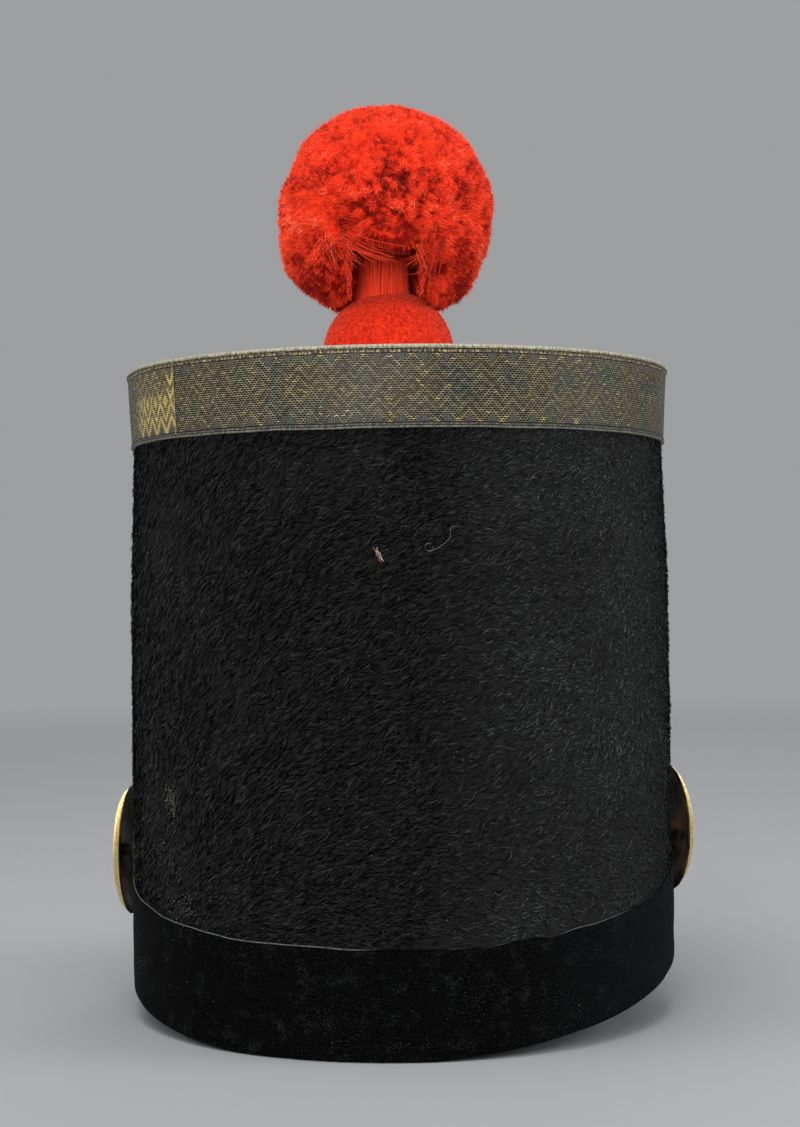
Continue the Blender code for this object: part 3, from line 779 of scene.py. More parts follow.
def buildCutThreads():
    # the cut edge of the lapped end: its last thread, and the short ends that stick out of it
    rng = np.random.default_rng(cutEdge["seed"])
    heights = np.linspace(0.0010, lace["width"] - 0.0002, cutEdge["points"])
    sway = softNoise(np.outer(heights, (0, 0, 1)), 0.002, 1.1) * laceLap["fray"]
    edge = wallPoint(laceLap["to"] + sway, laceHeight(laceLap["to"], heights), cutEdge["out"])[None]
    joinStrands("laceCutEdge", giltThread, edge, crossFrame(chord(edge), rng), cutEdge["halfWidth"], 0.7,
                sides=5, pointed=False)
    count = cutEdge["ends"]
    up = rng.uniform(0.0008, lace["width"] - 0.0006, count)
    long = rng.uniform(*cutEdge["endLength"], count)
    points = []
    for t in (0.0, 0.5, 1.0):
        angle = laceLap["to"] - 0.15 + long * t
        rise = cutEdge["endOut"] + rng.uniform(-0.0001, 0.0003, count) * t
        points.append(wallPoint(angle, laceHeight(angle, up + rng.normal(0, 0.0003, count) * t), rise))
    paths = np.stack(points, 1)
    joinStrands("laceCutEnds", giltThread, paths, crossFrame(chord(paths), rng), cutEdge["endHalfWidth"],
                rng.uniform(0, 1, count), sides=3)


wrapBand("laceBand", lace, laceHeight, laceWobble, tarnishedLace, "top_lace")
buildLaceLap()
buildCutThreads()
print("lace laid")

velvet = {
    "width": 0.0310,
    "flare": 0.0022,
    "rimWave": 0.00030,
    "faceWave": 0.00022,
    "steps": 360,
    "profile": (
        # the turn under the felt, the face, and the upper edge
        (1.2, -2.8), (0.5, -2.5), (0.0, -1.9), (0.0, 0.7), (0.2, 1.2), (0.8, 1.5), (3.0, 1.55),
        *((6.0 + 3.0 * i, 1.5) for i in range(8)), (29.5, 1.5), (30.5, 1.35), (31.0, 0.8), (31.0, 0.3),
        (1.2, 0.3),
    ),
}

velvetEdging = {
    "radius": 0.00017,
    "out": 0.00112,
    "lift": 0.0001,
    "waver": 0.0006,
    "steps": 300,
}


def velvetTop(angle):
    # the rim's height again, but eased where it meets the floor, so that the upper edge has no corner
    free = slopingRim(angle)
    risen = 0.5 * (free + np.hypot(free, 0.0016)) - 0.0003
    return risen + velvet["width"] - velvet["flare"] * np.cos(np.radians(angle))


def velvetHeight(angle, up):
    spare = velvetTop(angle) - rimHeight(angle) - velvet["width"]
    return rimHeight(angle) + up + spare * np.clip(up / velvet["width"], 0, 1)


def velvetWobble(placed, angle, up, out):
    outside, low = np.clip(out / 0.001, 0, 1), np.clip(1 - up / 0.003, 0, 1)
    creases = softNoise(placed * (1.0, 1.0, 3.5), 0.020, 5.2) * velvet["faceWave"] * outside
    lift = np.maximum(0.0, softNoise(placed, 0.009, 1.7)) * velvet["rimWave"] * low
    return around(np.radians(angle), creases, creases, lift)


def buildEdging():
    # a thin cord that runs right round the crown
    bm = bmesh.new()
    bmesh.ops.create_circle(bm, segments=6, radius=velvetEdging["radius"])
    bmesh.ops.rotate(bm, verts=bm.verts, matrix=Matrix.Rotation(math.pi / 2, 3, "X"))
    bmesh.ops.translate(bm, verts=bm.verts, vec=(1.0, 0, 0))
    spinRound(bm, velvetEdging["steps"])
    for vert in bm.verts:
        turn = math.atan2(vert.co.y, vert.co.x)
        angle = math.degrees(turn) % 360.0
        shift = noise.noise((math.cos(turn) * 9, math.sin(turn) * 9, 4.4)) * velvetEdging["waver"]
        z = float(velvetTop(angle)) + velvetEdging["lift"] + vert.co.z + shift
        vert.co = wallPoint(angle, z, velvetEdging["out"] + vert.co.xy.length - 1.0)
    addPiece(meshFrom(bm, "velvetEdging"), greyThread)


wrapBand("velvetBand", velvet, velvetHeight, velvetWobble, blackVelvet, "velvet_band")
buildEdging()
print("velvet laid")

# The nap: blades of hair brushed over the felt, drawn together in small waves.
nap = {
    "step": 0.00079,
    "reach": (0.026, 0.183),
    "length": (0.0018, 0.0036),
    "halfWidth": (0.00007, 0.00012),
    # the share of pale hairs, and how much wider and higher they are
    "light": (0.13, 0.00005, 0.0003),
    "lift": (0.00025, 0.00095),
    "clump": 0.0025,
    "pull": 0.30,
    # degrees above level that the hair slopes, seen from outside, at angles round the crown
    "lay": ((0, 26), (45, 58), (90, 85), (135, 92), (180, 86), (215, 72), (240, 46), (258, 30), (275, 22),
            (300, 13), (330, 10), (360, 26)),
    # it lies flatter low down: within what height, by how many degrees, and most round which angle
    "lowDown": (0.035, 34),
    "lowBehind": (285, 90),
    # hair over the velvet's edge: its reach, and the angles where it is
    "hangBehind": (0.0014, 281, 17),
    "hangRight": (0.0016, 316, 6),
    # degrees by which broad waves, curls and chance turn each hair
    "wave": 26,
    "curl": 24,
    "chance": 22,
    # the curly stretch on the wearer's left: its middle, its spread and how many more degrees
    "crimp": (205, 32, 26),
    "bow": 0.00022,
    "roll": 0.55,
    "seed": 11,
}


def napLay(angle, z):
    turns, slopes = zip(*nap["lay"])
    reach, flatter = nap["lowDown"]
    middle, spread = nap["lowBehind"]
    low = np.clip(1 - (z - velvetTop(angle)) / reach, 0, 1)
    behind = np.clip(1.4 - np.abs(angle - middle) / spread, 0.35, 1)
    return np.interp(angle, turns, slopes) - flatter * low**1.2 * behind


def clumpOf(arc, z, rng):
    # the nearest of the points of an uneven grid
    size = nap["clump"]
    across, up = int(girth / size) + 1, int(0.21 / size) + 2
    jitter = rng.uniform(-0.42, 0.42, (across, up, 2))
    column, row = np.floor(arc / size).astype(int), np.floor(z / size).astype(int)
    best = np.full(len(arc), 9.0)
    centre = np.zeros((len(arc), 2))
    key = np.zeros(len(arc), int)
    for c, r in ((column + i, row + j) for i in (-1, 0, 1) for j in (-1, 0, 1)):
        spot = jitter[c % across, np.clip(r, 0, up - 1)]
        x, y = (c + 0.5 + spot[:, 0]) * size, (r + 0.5 + spot[:, 1]) * size
        away = np.hypot(arc - x, z - y)
        nearer = away < best
        best = np.where(nearer, away, best)
        centre = np.where(nearer[:, None], np.stack((x, y), -1), centre)
        key = np.where(nearer, (c % across) * 1000 + r, key)
    return centre.T, key


def growNap(name, first, last):
    rng = np.random.default_rng(nap["seed"] + first)
    step = nap["step"]
    arcs = np.arange(arcAtAngle(first), arcAtAngle(last) if last < 360 else girth, step)
    arc, z = (g.ravel() for g in np.meshgrid(arcs, np.arange(*nap["reach"], step * 0.98)))
    arc = arc + rng.uniform(-0.6, 0.6, len(arc)) * step
    z = z + rng.uniform(-0.6, 0.6, len(z)) * step
    angle = angleAtArc(arc)
    kept = (z > velvetTop(angle) + 0.0002) & (z < laceHeight(angle, 0.0) + 0.0012)
    arc, z, angle = arc[kept], z[kept], angle[kept]
    count = len(arc)
    (clumpArc, clumpZ), key = clumpOf(arc, z, np.random.default_rng(nap["seed"]))
    place = wallPoint(angle, z)
    wave = softNoise(place, 0.011, 2.2)
    middle, spread, extra = nap["crimp"]
    crimp = np.exp(-(((angle - middle) / spread) ** 2))
    curl = (nap["curl"] + extra * crimp) * softNoise(place, 0.0042, 7.7)
    slope = napLay(angle, z) + nap["wave"] * wave + curl + rng.normal(0, nap["chance"], count)
    slope = np.radians(slope) + math.pi
    # the tips are drawn to their clump's own tip
    length = rng.uniform(*nap["length"], count)
    tipArc, tipZ = arc + length * np.cos(slope), z + length * np.sin(slope)
    clumpSlope = np.radians(napLay(angleAtArc(clumpArc), clumpZ)) + math.pi
    mean = sum(nap["length"]) / 2
    pull = nap["pull"] * rng.uniform(0.3, 1.0, count)
    tipArc += (clumpArc + mean * np.cos(clumpSlope) - tipArc) * pull
    tipZ += (clumpZ + mean * np.sin(clumpSlope) - tipZ) * pull
    # a little hair hangs over the velvet's edge, behind and on the wearer's right
    behind, right = nap["hangBehind"], nap["hangRight"]
    hang = behind[0] * np.clip(1.2 - np.abs(angle - behind[1]) / behind[2], 0, 1)
    hang = hang + right[0] * np.clip((angle - right[1]) / right[2], 0, 1)
    lowest = velvetTop(angle) + 0.0002 - hang * rng.uniform(0.2, 1.0, count)
    tipZ = np.maximum(tipZ, lowest + rng.uniform(-0.0002, 0.0004, count))
    # a clump lifts as one, by a number that its place gives
    lump = (np.sin(key * 12.9898) * 43758.5453) % 1.0
    lift = nap["lift"][0] + (nap["lift"][1] - nap["lift"][0]) * (0.5 * lump + 0.5 * rng.uniform(0, 1, count))
    lift *= 1 + 0.5 * wave + 0.7 * crimp * softNoise(place, 0.0026, 3.4)
    bow = rng.normal(0, nap["bow"], count)
    share, wider, higher = nap["light"]
    light = rng.uniform(0, 1, count) < share
    half = rng.uniform(*nap["halfWidth"], count) + wider * light
    lift += higher * light
    roll = rng.normal(0, nap["roll"], count)[:, None]
    points = []
    for t, rise in ((0.0, -0.15), (0.5, 0.85), (1.0, 1.0)):
        aside = bow * 4 * t * (1 - t)
        a = arc + (tipArc - arc) * t + aside * -np.sin(slope)
        h = z + (tipZ - z) * t + aside * np.cos(slope)
        points.append(wallPoint(angleAtArc(a), h, lift * rise))
    paths = np.stack(points, 1)
    wide, deep = crownForm["girthAxes"]
    outward = unit(around(np.radians(angle), 1 / wide, 1 / deep, 0.0))
    across = np.cross(chord(paths), outward) * np.cos(roll) + outward * np.sin(roll)
    tones = np.where(light, rng.uniform(0.88, 1, count), rng.uniform(0, 0.85, count))
    joinStrands(name, brushedNap, paths, (across[:, None], outward[:, None]), half, tones, (0.8, 1.15, 0.2))


for quarter, napName in enumerate(("napRightFront", "napLeftFront", "napLeftBack", "napRightBack")):
    growNap(napName, quarter * 90, quarter * 90 + 90)
print("nap brushed")

# Dust, lint and stray hairs that lie on the nap.
dust = {
    # angle, height in mm, spread in mm and number of specks
    "spots": (
        (215.4, 72.9, 3.6, 150), (216.0, 67.9, 1.7, 40), (220.0, 39.2, 4.2, 90), (2.7, 60.5, 1.8, 34),
        (212.5, 55.0, 4.0, 34), (216.0, 47.0, 8.0, 70), (198.0, 20.0, 7.0, 60), (333.1, 9.2, 0.6, 6),
        (330.0, 12.0, 4.0, 26), (229.8, 5.8, 2.0, 22), (255.4, 4.7, 1.8, 14), (303.7, 10.9, 1.8, 12),
    ),
    "yellowSpot": 1,  # which of them is yellow, counted from 0
    "loose": 640,
    "looseAround": (205.0, 232.0, 262.0, 300.0, 60.0, 140.0),
    "size": (0.00005, 0.00015),
    # how far out of the felt's face it lies
    "onNap": 0.00085,
    "onVelvet": 0.00155,
    "fibres": (0.0011, 0.00015),
    "seed": 21,
}

# One scrap of lint and two stray hairs, by the angle and height in mm along each fibre, and its tone.
lint = {
    "halfWidth": 0.000055,
    "fibres": (
        ((263.8, 144.6), (264.3, 143.0), (265.0, 141.5)), ((264.5, 144.0), (264.7, 142.7), (265.2, 141.1)),
        ((263.7, 143.4), (264.3, 142.3), (264.6, 141.0)), ((264.0, 142.0), (264.7, 141.2), (264.8, 140.1)),
        ((263.3, 145.3), (263.7, 144.2), (264.1, 143.0)), ((264.0, 145.4), (264.0, 144.4), (264.5, 143.4)),
    ),
    "tones": (0.95, 0.70, 0.35, 0.0, 0.40, 0.85),
}
strayHairs = {
    "halfWidth": 0.000035,
    "fibres": (
        ((272.8, 145.2), (273.3, 144.1), (274.2, 144.1), (274.6, 145.3), (274.0, 146.4), (273.1, 146.2),
         (272.8, 145.0), (273.5, 144.0), (274.8, 144.5), (275.9, 145.5), (277.1, 146.9), (277.8, 148.3),
         (277.7, 150.0), (278.2, 151.2), (279.2, 150.9)),
        ((318.4, 17.2), (317.6, 18.8), (316.4, 18.2), (316.6, 16.4)),
    ),
    "tones": (0.5, 0.5),
}


def scatterSpecks():
    rng = np.random.default_rng(dust["seed"])
    angles, heights, yellow = [], [], []
    for spot, (angle, z, spread, count) in enumerate(dust["spots"]):
        angles.append(angleAtArc(float(arcAtAngle(angle)) + rng.normal(0, spread, count) * 0.0007))
        heights.append(z / 1000 + rng.normal(0, spread, count) * 0.0008)
        yellow += [spot == dust["yellowSpot"]] * count
    # the rest lies in loose drifts, most of it low down
    loose = dust["loose"]
    angles.append(np.mod(rng.choice(dust["looseAround"], loose) + rng.normal(0, 18, loose), 360))
    heights.append(0.004 + 0.172 * rng.uniform(0, 1, loose) ** 1.7)
    yellow = np.array(yellow + [False] * loose)
    angle, z = np.concatenate(angles), np.concatenate(heights)
    onNap = z > velvetTop(angle)
    start = wallPoint(angle, z, np.where(onNap, dust["onNap"], dust["onVelvet"]))
    size = rng.uniform(*dust["size"], len(angle)) * np.where(onNap, 1.0, 0.7)
    run = unit(rng.normal(0, 1, start.shape))
    paths = np.stack((start, start + run * size[:, None] * 1.5), 1)
    across, outward = crossFrame(run, rng)
    for name, material, mine in (("dustSpecks", paleDust, ~yellow), ("yellowSpecks", yellowDust, yellow)):
        joinStrands(name, material, paths[mine], (across[mine], outward[mine]), size[mine],
                    rng.uniform(0, 1, mine.sum()), (1.0, 0.5), sides=3)


def layFibres(name, laid, material):
    rng = np.random.default_rng(dust["seed"] + 1)
    out, ripple = dust["fibres"]
    for i, (fibre, tone) in enumerate(zip(laid["fibres"], laid["tones"])):
        share, fine = np.linspace(0, 1, len(fibre)), np.linspace(0, 1, 6 * len(fibre))
        turns, heights = (eased(np.interp(fine, share, row), 5) for row in np.array(fibre).T)
        path = wallPoint(turns, heights / 1000, out + ripple * np.sin(fine * 9))[None]
        facing = crossFrame(chord(path), rng)
        joinStrands(name + str(i), material, path, facing, laid["halfWidth"], tone, sides=3)


scatterSpecks()
layFibres("lint", lint, lintFibre)
layFibres("curlyHair", strayHairs, paleDust)
print("dust settled")

pompon = {
    "middle": (0.0005, 0.0793, 0.2809),
    # degrees above level, reach in mm on the wearer's left and on their right
    "outline": (
        (-90, 44.0, 43.5), (-62, 44.6, 43.6), (-50, 44.6, 44.6), (-40, 45.6, 43.2), (-30, 45.3, 41.2),
        (-20, 43.4, 41.0), (-10, 41.9, 40.0), (0, 41.3, 40.5), (10, 40.0, 39.3), (20, 38.9, 38.4),
        (30, 39.4, 38.7), (40, 39.8, 38.7), (50, 39.2, 38.7), (60, 38.7, 37.3), (70, 38.3, 37.5),
        (80, 37.7, 37.3), (90, 37.5, 37.5),
    ),
    # the hollow round the neck: its edge in degrees from straight down, then share of that, radius and drop
    "rim": 28.0,
    "hollow": ((0.0, 0.0, 0.0195), (0.55, 0.0140, 0.0195), (0.9, 0.0193, 0.0384)),
    "hollowStrands": ((0.52, 0.0132, 0.0190), (0.9, 0.0191, 0.0382), (1.0, 0.0204, 0.0392)),
    "hollowCount": 1500,
    "hollowOpen": 62,  # degrees to each side of the parting that have none
    "hollowHalfWidth": (0.00022, 0.00036),
    # the parting: half its width, how much wider on the left, its sway; its top, arch and raggedness
    "slot": (0.0126, 0.0026, 0.0008),
    "slotTop": (0.0218, 0.0032, 0.0008),
    "slotRoll": 0.0020,
    "tipDepth": 0.0009,
    # torn places: direction, depth and spread
    "dents": (((-21.1, -31.0, -27.9), 0.0028, 0.08), ((19.5, -28.0, -33.0), 0.0022, 0.07),
              ((-17.0, -38.0, -17.5), 0.0018, 0.06), ((15.5, -38.0, -19.0), 0.0020, 0.06)),
    # where the wool is loose behind: middle and spread across, then up, on a ball of radius 1
    "looseWool": ((0.06, 0.46), (-0.06, 0.34)),
    "lumps": 1650,
    "lumpReach": 0.050,
    "strands": 84000,
    "strandLength": (0.0016, 0.0034),
    "strandRise": (12, 38),  # degrees out of the surface
    "halfWidth": (0.00011, 0.00019),
    "fuzz": {"count": 11000, "length": (0.0012, 0.0030), "halfWidth": 0.00009, "lowest": -0.86, "seed": 31},
    "seed": 4,
}
pomponMiddle = np.array(pompon["middle"])


def evenDirections(count, rng, jitter):
    # spread over a ball along a spiral, each a little off its place
    i = np.arange(count) + 0.5
    down = 1 - 2 * i / count
    flat = np.sqrt(1 - down**2)
    goldenTurn = math.pi * (3 - math.sqrt(5))
    return unit(around(i * goldenTurn, flat, flat, down) + rng.normal(0, jitter, (count, 3)))


def clippedReach(directions):
    # how far the shears left the wool, in metres from the ball's middle
    up = np.degrees(np.arcsin(np.clip(directions[:, 2], -1, 1)))
    side = directions[:, 0] / np.maximum(np.hypot(directions[:, 0], directions[:, 1]), 0.15)
    heights, *rows = np.array(pompon["outline"]).T
    fine = np.arange(-90, 91.0)
    left, right = (np.interp(up, fine, eased(np.interp(fine, heights, row), 9)) for row in rows)
    return (left + (right - left) * (0.5 + 0.5 * side)) / 1000


lumpRandom = np.random.default_rng(pompon["seed"])
lumpCentres = evenDirections(pompon["lumps"], lumpRandom, 0.022)
lumpHeights = lumpRandom.uniform(-1, 1, pompon["lumps"])
lumpLays = unit(lumpRandom.normal(0, 1, (pompon["lumps"], 3)))
lumpTree = kdtree.KDTree(pompon["lumps"])
for lumpIndex, lumpCentre in enumerate(lumpCentres):
    lumpTree.insert(lumpCentre, lumpIndex)
lumpTree.balance()


def woolRelief(directions):
    # the nearest lump of each direction, how near its edge is, and how loose and how high the wool is there
    found = [lumpTree.find(d)[1:] for d in directions]
    index, away = np.array([f[0] for f in found]), np.array([f[1] for f in found])
    x, y, z = directions.T
    (midX, spreadX), (midZ, spreadZ) = pompon["looseWool"]
    loose = np.exp(-(((x - midX) / spreadX) ** 2 + ((z - midZ) / spreadZ) ** 2)) * (y < 0)
    edge = np.clip(away / pompon["lumpReach"], 0, 1.4) ** 2
    broad = 0.0010 * softNoise(directions, 0.34, 1.1) + 0.0006 * softNoise(directions, 0.14, 4.1)
    broad += loose * (0.0012 * softNoise(directions, 0.24, 6.2) + 0.0008 * softNoise(directions, 0.11, 2.8))
    torn = np.maximum(0, softNoise(directions, 0.13, 9.3) - 0.18) * loose
    dents = sum(depth * np.exp(-(np.linalg.norm(directions - unit(np.array(spot)), axis=1) / size) ** 2)
                for spot, depth, size in pompon["dents"])
    lumps = (0.00038 + 0.0006 * loose) * lumpHeights[index] - (0.00055 + 0.0009 * loose) * edge
    return index, edge, loose, broad + lumps - 0.0056 * torn - dents


def partingAt(points):
    # how far below the middle the parting begins, and how wide it is there
    high, arch, ragged = pompon["slotTop"]
    half, wider, sway = pompon["slot"]
    top = high - arch * np.clip(np.abs(points[:, 0]) / half, 0, 1) ** 2
    top = top + ragged * softNoise(points * (1.0, 0.0, 0.0), 0.0045, 2.2)
    upright = points * (0.0, 0.0, 1.0) + np.sign(points[:, :1]) * (0.05, 0, 0)  # each side sways its own way
    wide = half + sway * softNoise(upright, 0.006, 3.7)
    return top, wide + wider * (points[:, 0] < 0)


def rollIn(points, rolled):
    # the wool rolls in towards the parting along its edges
    top, wide = partingAt(points)
    beyond = np.hypot(np.maximum(np.abs(points[:, 0]) - wide, 0), np.maximum(points[:, 2] + top, 0))
    depth = pompon["slotRoll"] * np.exp(-((beyond / pompon["slotRoll"]) ** 2)) * rolled
    points *= 1 - (depth / np.linalg.norm(points, axis=1))[:, None]
    return top, wide


def roundBall(subdivisions):
    bm = bmesh.new()
    bmesh.ops.create_icosphere(bm, subdivisions=subdivisions, radius=1.0)
    return bm, unit(np.array([v.co for v in bm.verts]))


def addFelted(bm, name, crease, nodeName=None):
    mesh = meshFrom(bm, name, crease=180.0)
    addAttribute(mesh, "crease", "FLOAT", "value", crease)
    addPiece(mesh, feltedWool, nodeName)


def degreesBelow(directions):
    # degrees from straight down
    return np.degrees(np.arccos(np.clip(-directions[:, 2], -1, 1)))


def buildUpperBody():
    bm, directions = roundBall(7)
    edge, loose, relief = woolRelief(directions)[1:]
    points = directions * (clippedReach(directions) - pompon["tipDepth"] + relief)[:, None]
    # inside its lower rim the ball is hollow round the neck
    below = degreesBelow(directions)
    inner = below < pompon["rim"]
    rim = math.radians(pompon["rim"])
    reach = clippedReach(np.array([(0, -math.sin(rim), -math.cos(rim))]))[0]
    shares, rings, drops = zip(*pompon["hollow"], (1.0, reach * math.sin(rim), reach * math.cos(rim)))
    share = below[inner] / pompon["rim"]
    ring, drop = np.interp(share, shares, rings), np.interp(share, shares, drops)
    points[inner] = around(np.arctan2(directions[inner, 1], directions[inner, 0]), ring, ring, -drop)
    # the parting behind, where the neck shows
    behind = points[:, 1] < 0
    top, wide = rollIn(points, behind & ~inner)
    inSlot = np.clip((wide + 0.0008 - np.abs(points[:, 0])) / 0.0016, 0, 1) * behind
    points[:, 2] += (np.maximum(points[:, 2], -top) - points[:, 2]) * inSlot
    # painted shade: what lies deep is darkened, between lumps, in dents, in the hollow and just inside the
    # parting
    paintedShade = np.clip((edge - 0.65) * 0.9, 0, 0.55) * (0.35 + 0.85 * loose)
    paintedShade = paintedShade + np.clip(-relief * 420 - 0.25, 0, 0.9)
    paintedShade = np.maximum(paintedShade, inner * 0.6)
    paintedShade = np.maximum(paintedShade, inSlot * (points[:, 2] < -top + 0.0020))
    moveVerts(bm, points + pomponMiddle)
    addFelted(bm, "pomponBody", np.clip(paintedShade, 0, 1), "pompon_ball_upper")


def levelled(lay, directions):
    # turns a lay flat to the ball's surface
    return unit(lay - directions * (lay * directions).sum(1)[:, None])


def buildUpperStrands():
    rng = np.random.default_rng(pompon["seed"] + 10)
    directions = evenDirections(pompon["strands"], rng, 0.006)
    index, edge, loose, relief = woolRelief(directions)
    place = directions * (clippedReach(directions) - pompon["tipDepth"] + relief)[:, None]
    behind = place[:, 1] < 0
    top, wide = rollIn(place, behind)
    cut = (np.abs(place[:, 0]) < wide) & behind & (place[:, 2] < -top + 0.0003)
    kept = (degreesBelow(directions) > pompon["rim"] + 0.5) & ~cut
    directions, place, index = directions[kept], place[kept], index[kept]
    edge, loose, relief = edge[kept], loose[kept], relief[kept]
    count = len(directions)
    # the wool of each lump lies its own way, and lower down it hangs away from the parting
    away = unit(directions - np.array((0.02, -0.92, -0.38)))
    low = np.clip(0.15 - directions[:, 2], 0, 1)[:, None] * 1.5
    firm = (1 - loose)[:, None]
    lay = lumpLays[index] * (1 - 0.35 * firm) - (0.2 + 0.5 * low) * (0, 0, 1)
    lay = lay + away * (0.8 * firm + 0.9 * low)
    lay = levelled(lay + rng.normal(0, 0.30, directions.shape), directions)
    long = rng.uniform(*pompon["strandLength"], count)[:, None] * (1 + 0.3 * low)
    steep = np.radians(rng.uniform(*pompon["strandRise"], count) + 16 * loose)[:, None]
    pull = (lumpCentres[index] - directions) * (0.040 * rng.uniform(0.1, 0.45, count))[:, None]
    rise, reach = long * np.sin(steep), lay * long * np.cos(steep)
    root = place - directions * 0.0007
    middle = root + directions * rise * 0.65 + reach * 0.40 + pull * 0.5
    tip = root + directions * (rise + 0.0002) + reach + pull
    paths = np.stack((root, middle, tip), 1) + pomponMiddle
    run = chord(paths)
    flat = unit(np.cross(run, directions))
    roll = rng.normal(0, 0.4, count)[:, None]
    across = flat * np.cos(roll) + unit(np.cross(flat, run)) * np.sin(roll)
    half = rng.uniform(*pompon["halfWidth"], count)
    # painted shade: darker towards each lump's edge, in the dents and underneath; the tone also drifts in
    # broad patches
    shadow = np.clip(edge - 0.5, 0, 1) * (0.10 + 0.36 * loose) + np.clip(-relief * 170 - 0.1, 0, 0.4)
    drift = softNoise(directions, 0.22, 6.6) + 0.6 * softNoise(directions, 0.085, 1.9)
    drift *= np.clip(0.92 - 1.1 * directions[:, 2], 0.40, 1.0)
    under = np.clip((-0.42 - directions[:, 2]) / 0.4, 0, 1) * 0.32
    tones = 0.50 + (0.24 + 0.06 * loose) * lumpHeights[index] + 0.78 * drift + rng.normal(0, 0.08, count)
    tones = np.clip(tones - shadow - under, 0, 1)
    for name, side in (("pomponWoolLeft", directions[:, 0] < 0), ("pomponWoolRight", directions[:, 0] >= 0)):
        facing = (across[side][:, None], directions[side][:, None])
        joinStrands(name, scarletWool, paths[side], facing, half[side], tones[side], (0.9, 1.1, 0.2))


def buildFuzz(name, reachOf, middle, fuzz, parted):
    # single fibres that stand out of the clipped surface
    rng = np.random.default_rng(fuzz["seed"])
    directions = evenDirections(fuzz["count"], rng, 0.03)
    directions = directions[directions[:, 2] > fuzz["lowest"]]
    count = len(directions)
    lean = unit(directions + rng.normal(0, 0.7, directions.shape))
    long = rng.uniform(*fuzz["length"], count)[:, None] * rng.uniform(0.4, 1.0, count)[:, None]
    start = middle + directions * (reachOf(directions)[:, None] - 0.0012)
    paths = np.stack((start, start + directions * long * 0.5 + lean * long * 0.15,
                      start + directions * long * 0.6 + lean * long * 0.5), 1)
    inParting = (directions[:, 1] < 0) & (np.abs(paths[:, 1, 0] - middle[0]) < pompon["slot"][0])
    paths = paths[~(inParting & (directions[:, 2] < -0.36) & parted)]
    joinStrands(name, clippedWool, paths, crossFrame(chord(paths), rng), fuzz["halfWidth"],
                rng.uniform(0.3, 1.0, len(paths)), (1.0, 0.9, 0.3))


# Loose strands round the parting: from, to and bow in mm, how many, their spread and their brightness.
looseHalfWidth = (0.00008, 0.00016)
looseBundles = (
    ((-17.5, -38.4, -18.6), (7.0, -33.5, -25.6), (0, -1.2, -0.6), 15, 1.3, 0.40),
    ((-16.8, -38.0, -20.0), (0.5, -33.0, -26.8), (0, -0.9, -0.9), 11, 1.3, 0.55),
    ((-16.5, -37.2, -21.5), (-8.0, -31.0, -28.5), (0, -0.8, -0.6), 7, 1.0, 0.7),
    ((15.5, -37.4, -17.5), (11.8, -27.0, -36.5), (-0.6, -1.6, 0), 13, 2.0, 0.35),
    ((17.0, -36.4, -21.0), (13.8, -26.0, -38.3), (0.3, -1.4, 0), 9, 1.8, 0.3),
    ((-19.5, -35.8, -21.0), (-14.2, -28.0, -34.5), (0.6, -1.3, 0), 7, 1.0, 0.75),
    ((-22.5, -34.8, -17.0), (-18.5, -32.0, -30.5), (-0.8, -1.4, 0), 12, 2.0, 0.7),
    ((-18.0, -37.4, -17.0), (-27.0, -33.0, -24.0), (-0.6, -1.0, 0.5), 12, 1.6, 0.7),
    ((13.4, -36.0, -22.5), (4.5, -29.0, -28.0), (0, -0.8, -1.0), 12, 1.0, 0.5),
    ((9.5, -36.5, -22.0), (13.5, -31.0, -33.0), (-0.6, -1.0, 0), 9, 0.9, 0.6),
)


def buildLooseStrands():
    rng = np.random.default_rng(pompon["seed"] + 5)
    paths, tones = [], []
    for start, end, bow, count, spread, bright in looseBundles:
        start, end, bow = np.array(start), np.array(end), np.array(bow)
        for strand in range(count):
            shift = rng.normal(0, spread, 3) * (1.0, 0.7, 0.8)
            splay, curve = rng.uniform(0.2, 2.2), rng.normal(0, 1.0, 3)
            ripple, phase = rng.normal(0, 0.5, 3), rng.uniform(0, math.tau)
            t = np.linspace(rng.uniform(-0.1, 0.15), rng.uniform(0.6, 1.05), 7)[:, None]
            path = start + (end - start) * t + shift * (1 + (splay - 1) * t)
            paths.append(path + (bow + curve) * np.sin(math.pi * t) + ripple * np.sin(6 * t + phase))
            tones.append(np.clip(bright + rng.normal(0, 0.16), 0, 1))
    paths = np.array(paths) / 1000 + pomponMiddle
    joinStrands("pomponLooseStrands", scarletWool, paths, crossFrame(chord(paths), rng),
                rng.uniform(*looseHalfWidth, len(paths)), tones, (1, 1, 1, 1, 0.9, 0.7, 0.3), sides=3)


partingStrands = {
    "overhead": 1300,
    "beside": 1500,
    "overheadLength": (0.0010, 0.0028),
    "besideLength": (0.0018, 0.0040),
    "halfWidth": (0.00014, 0.00024),
    "reach": 0.0445,
}


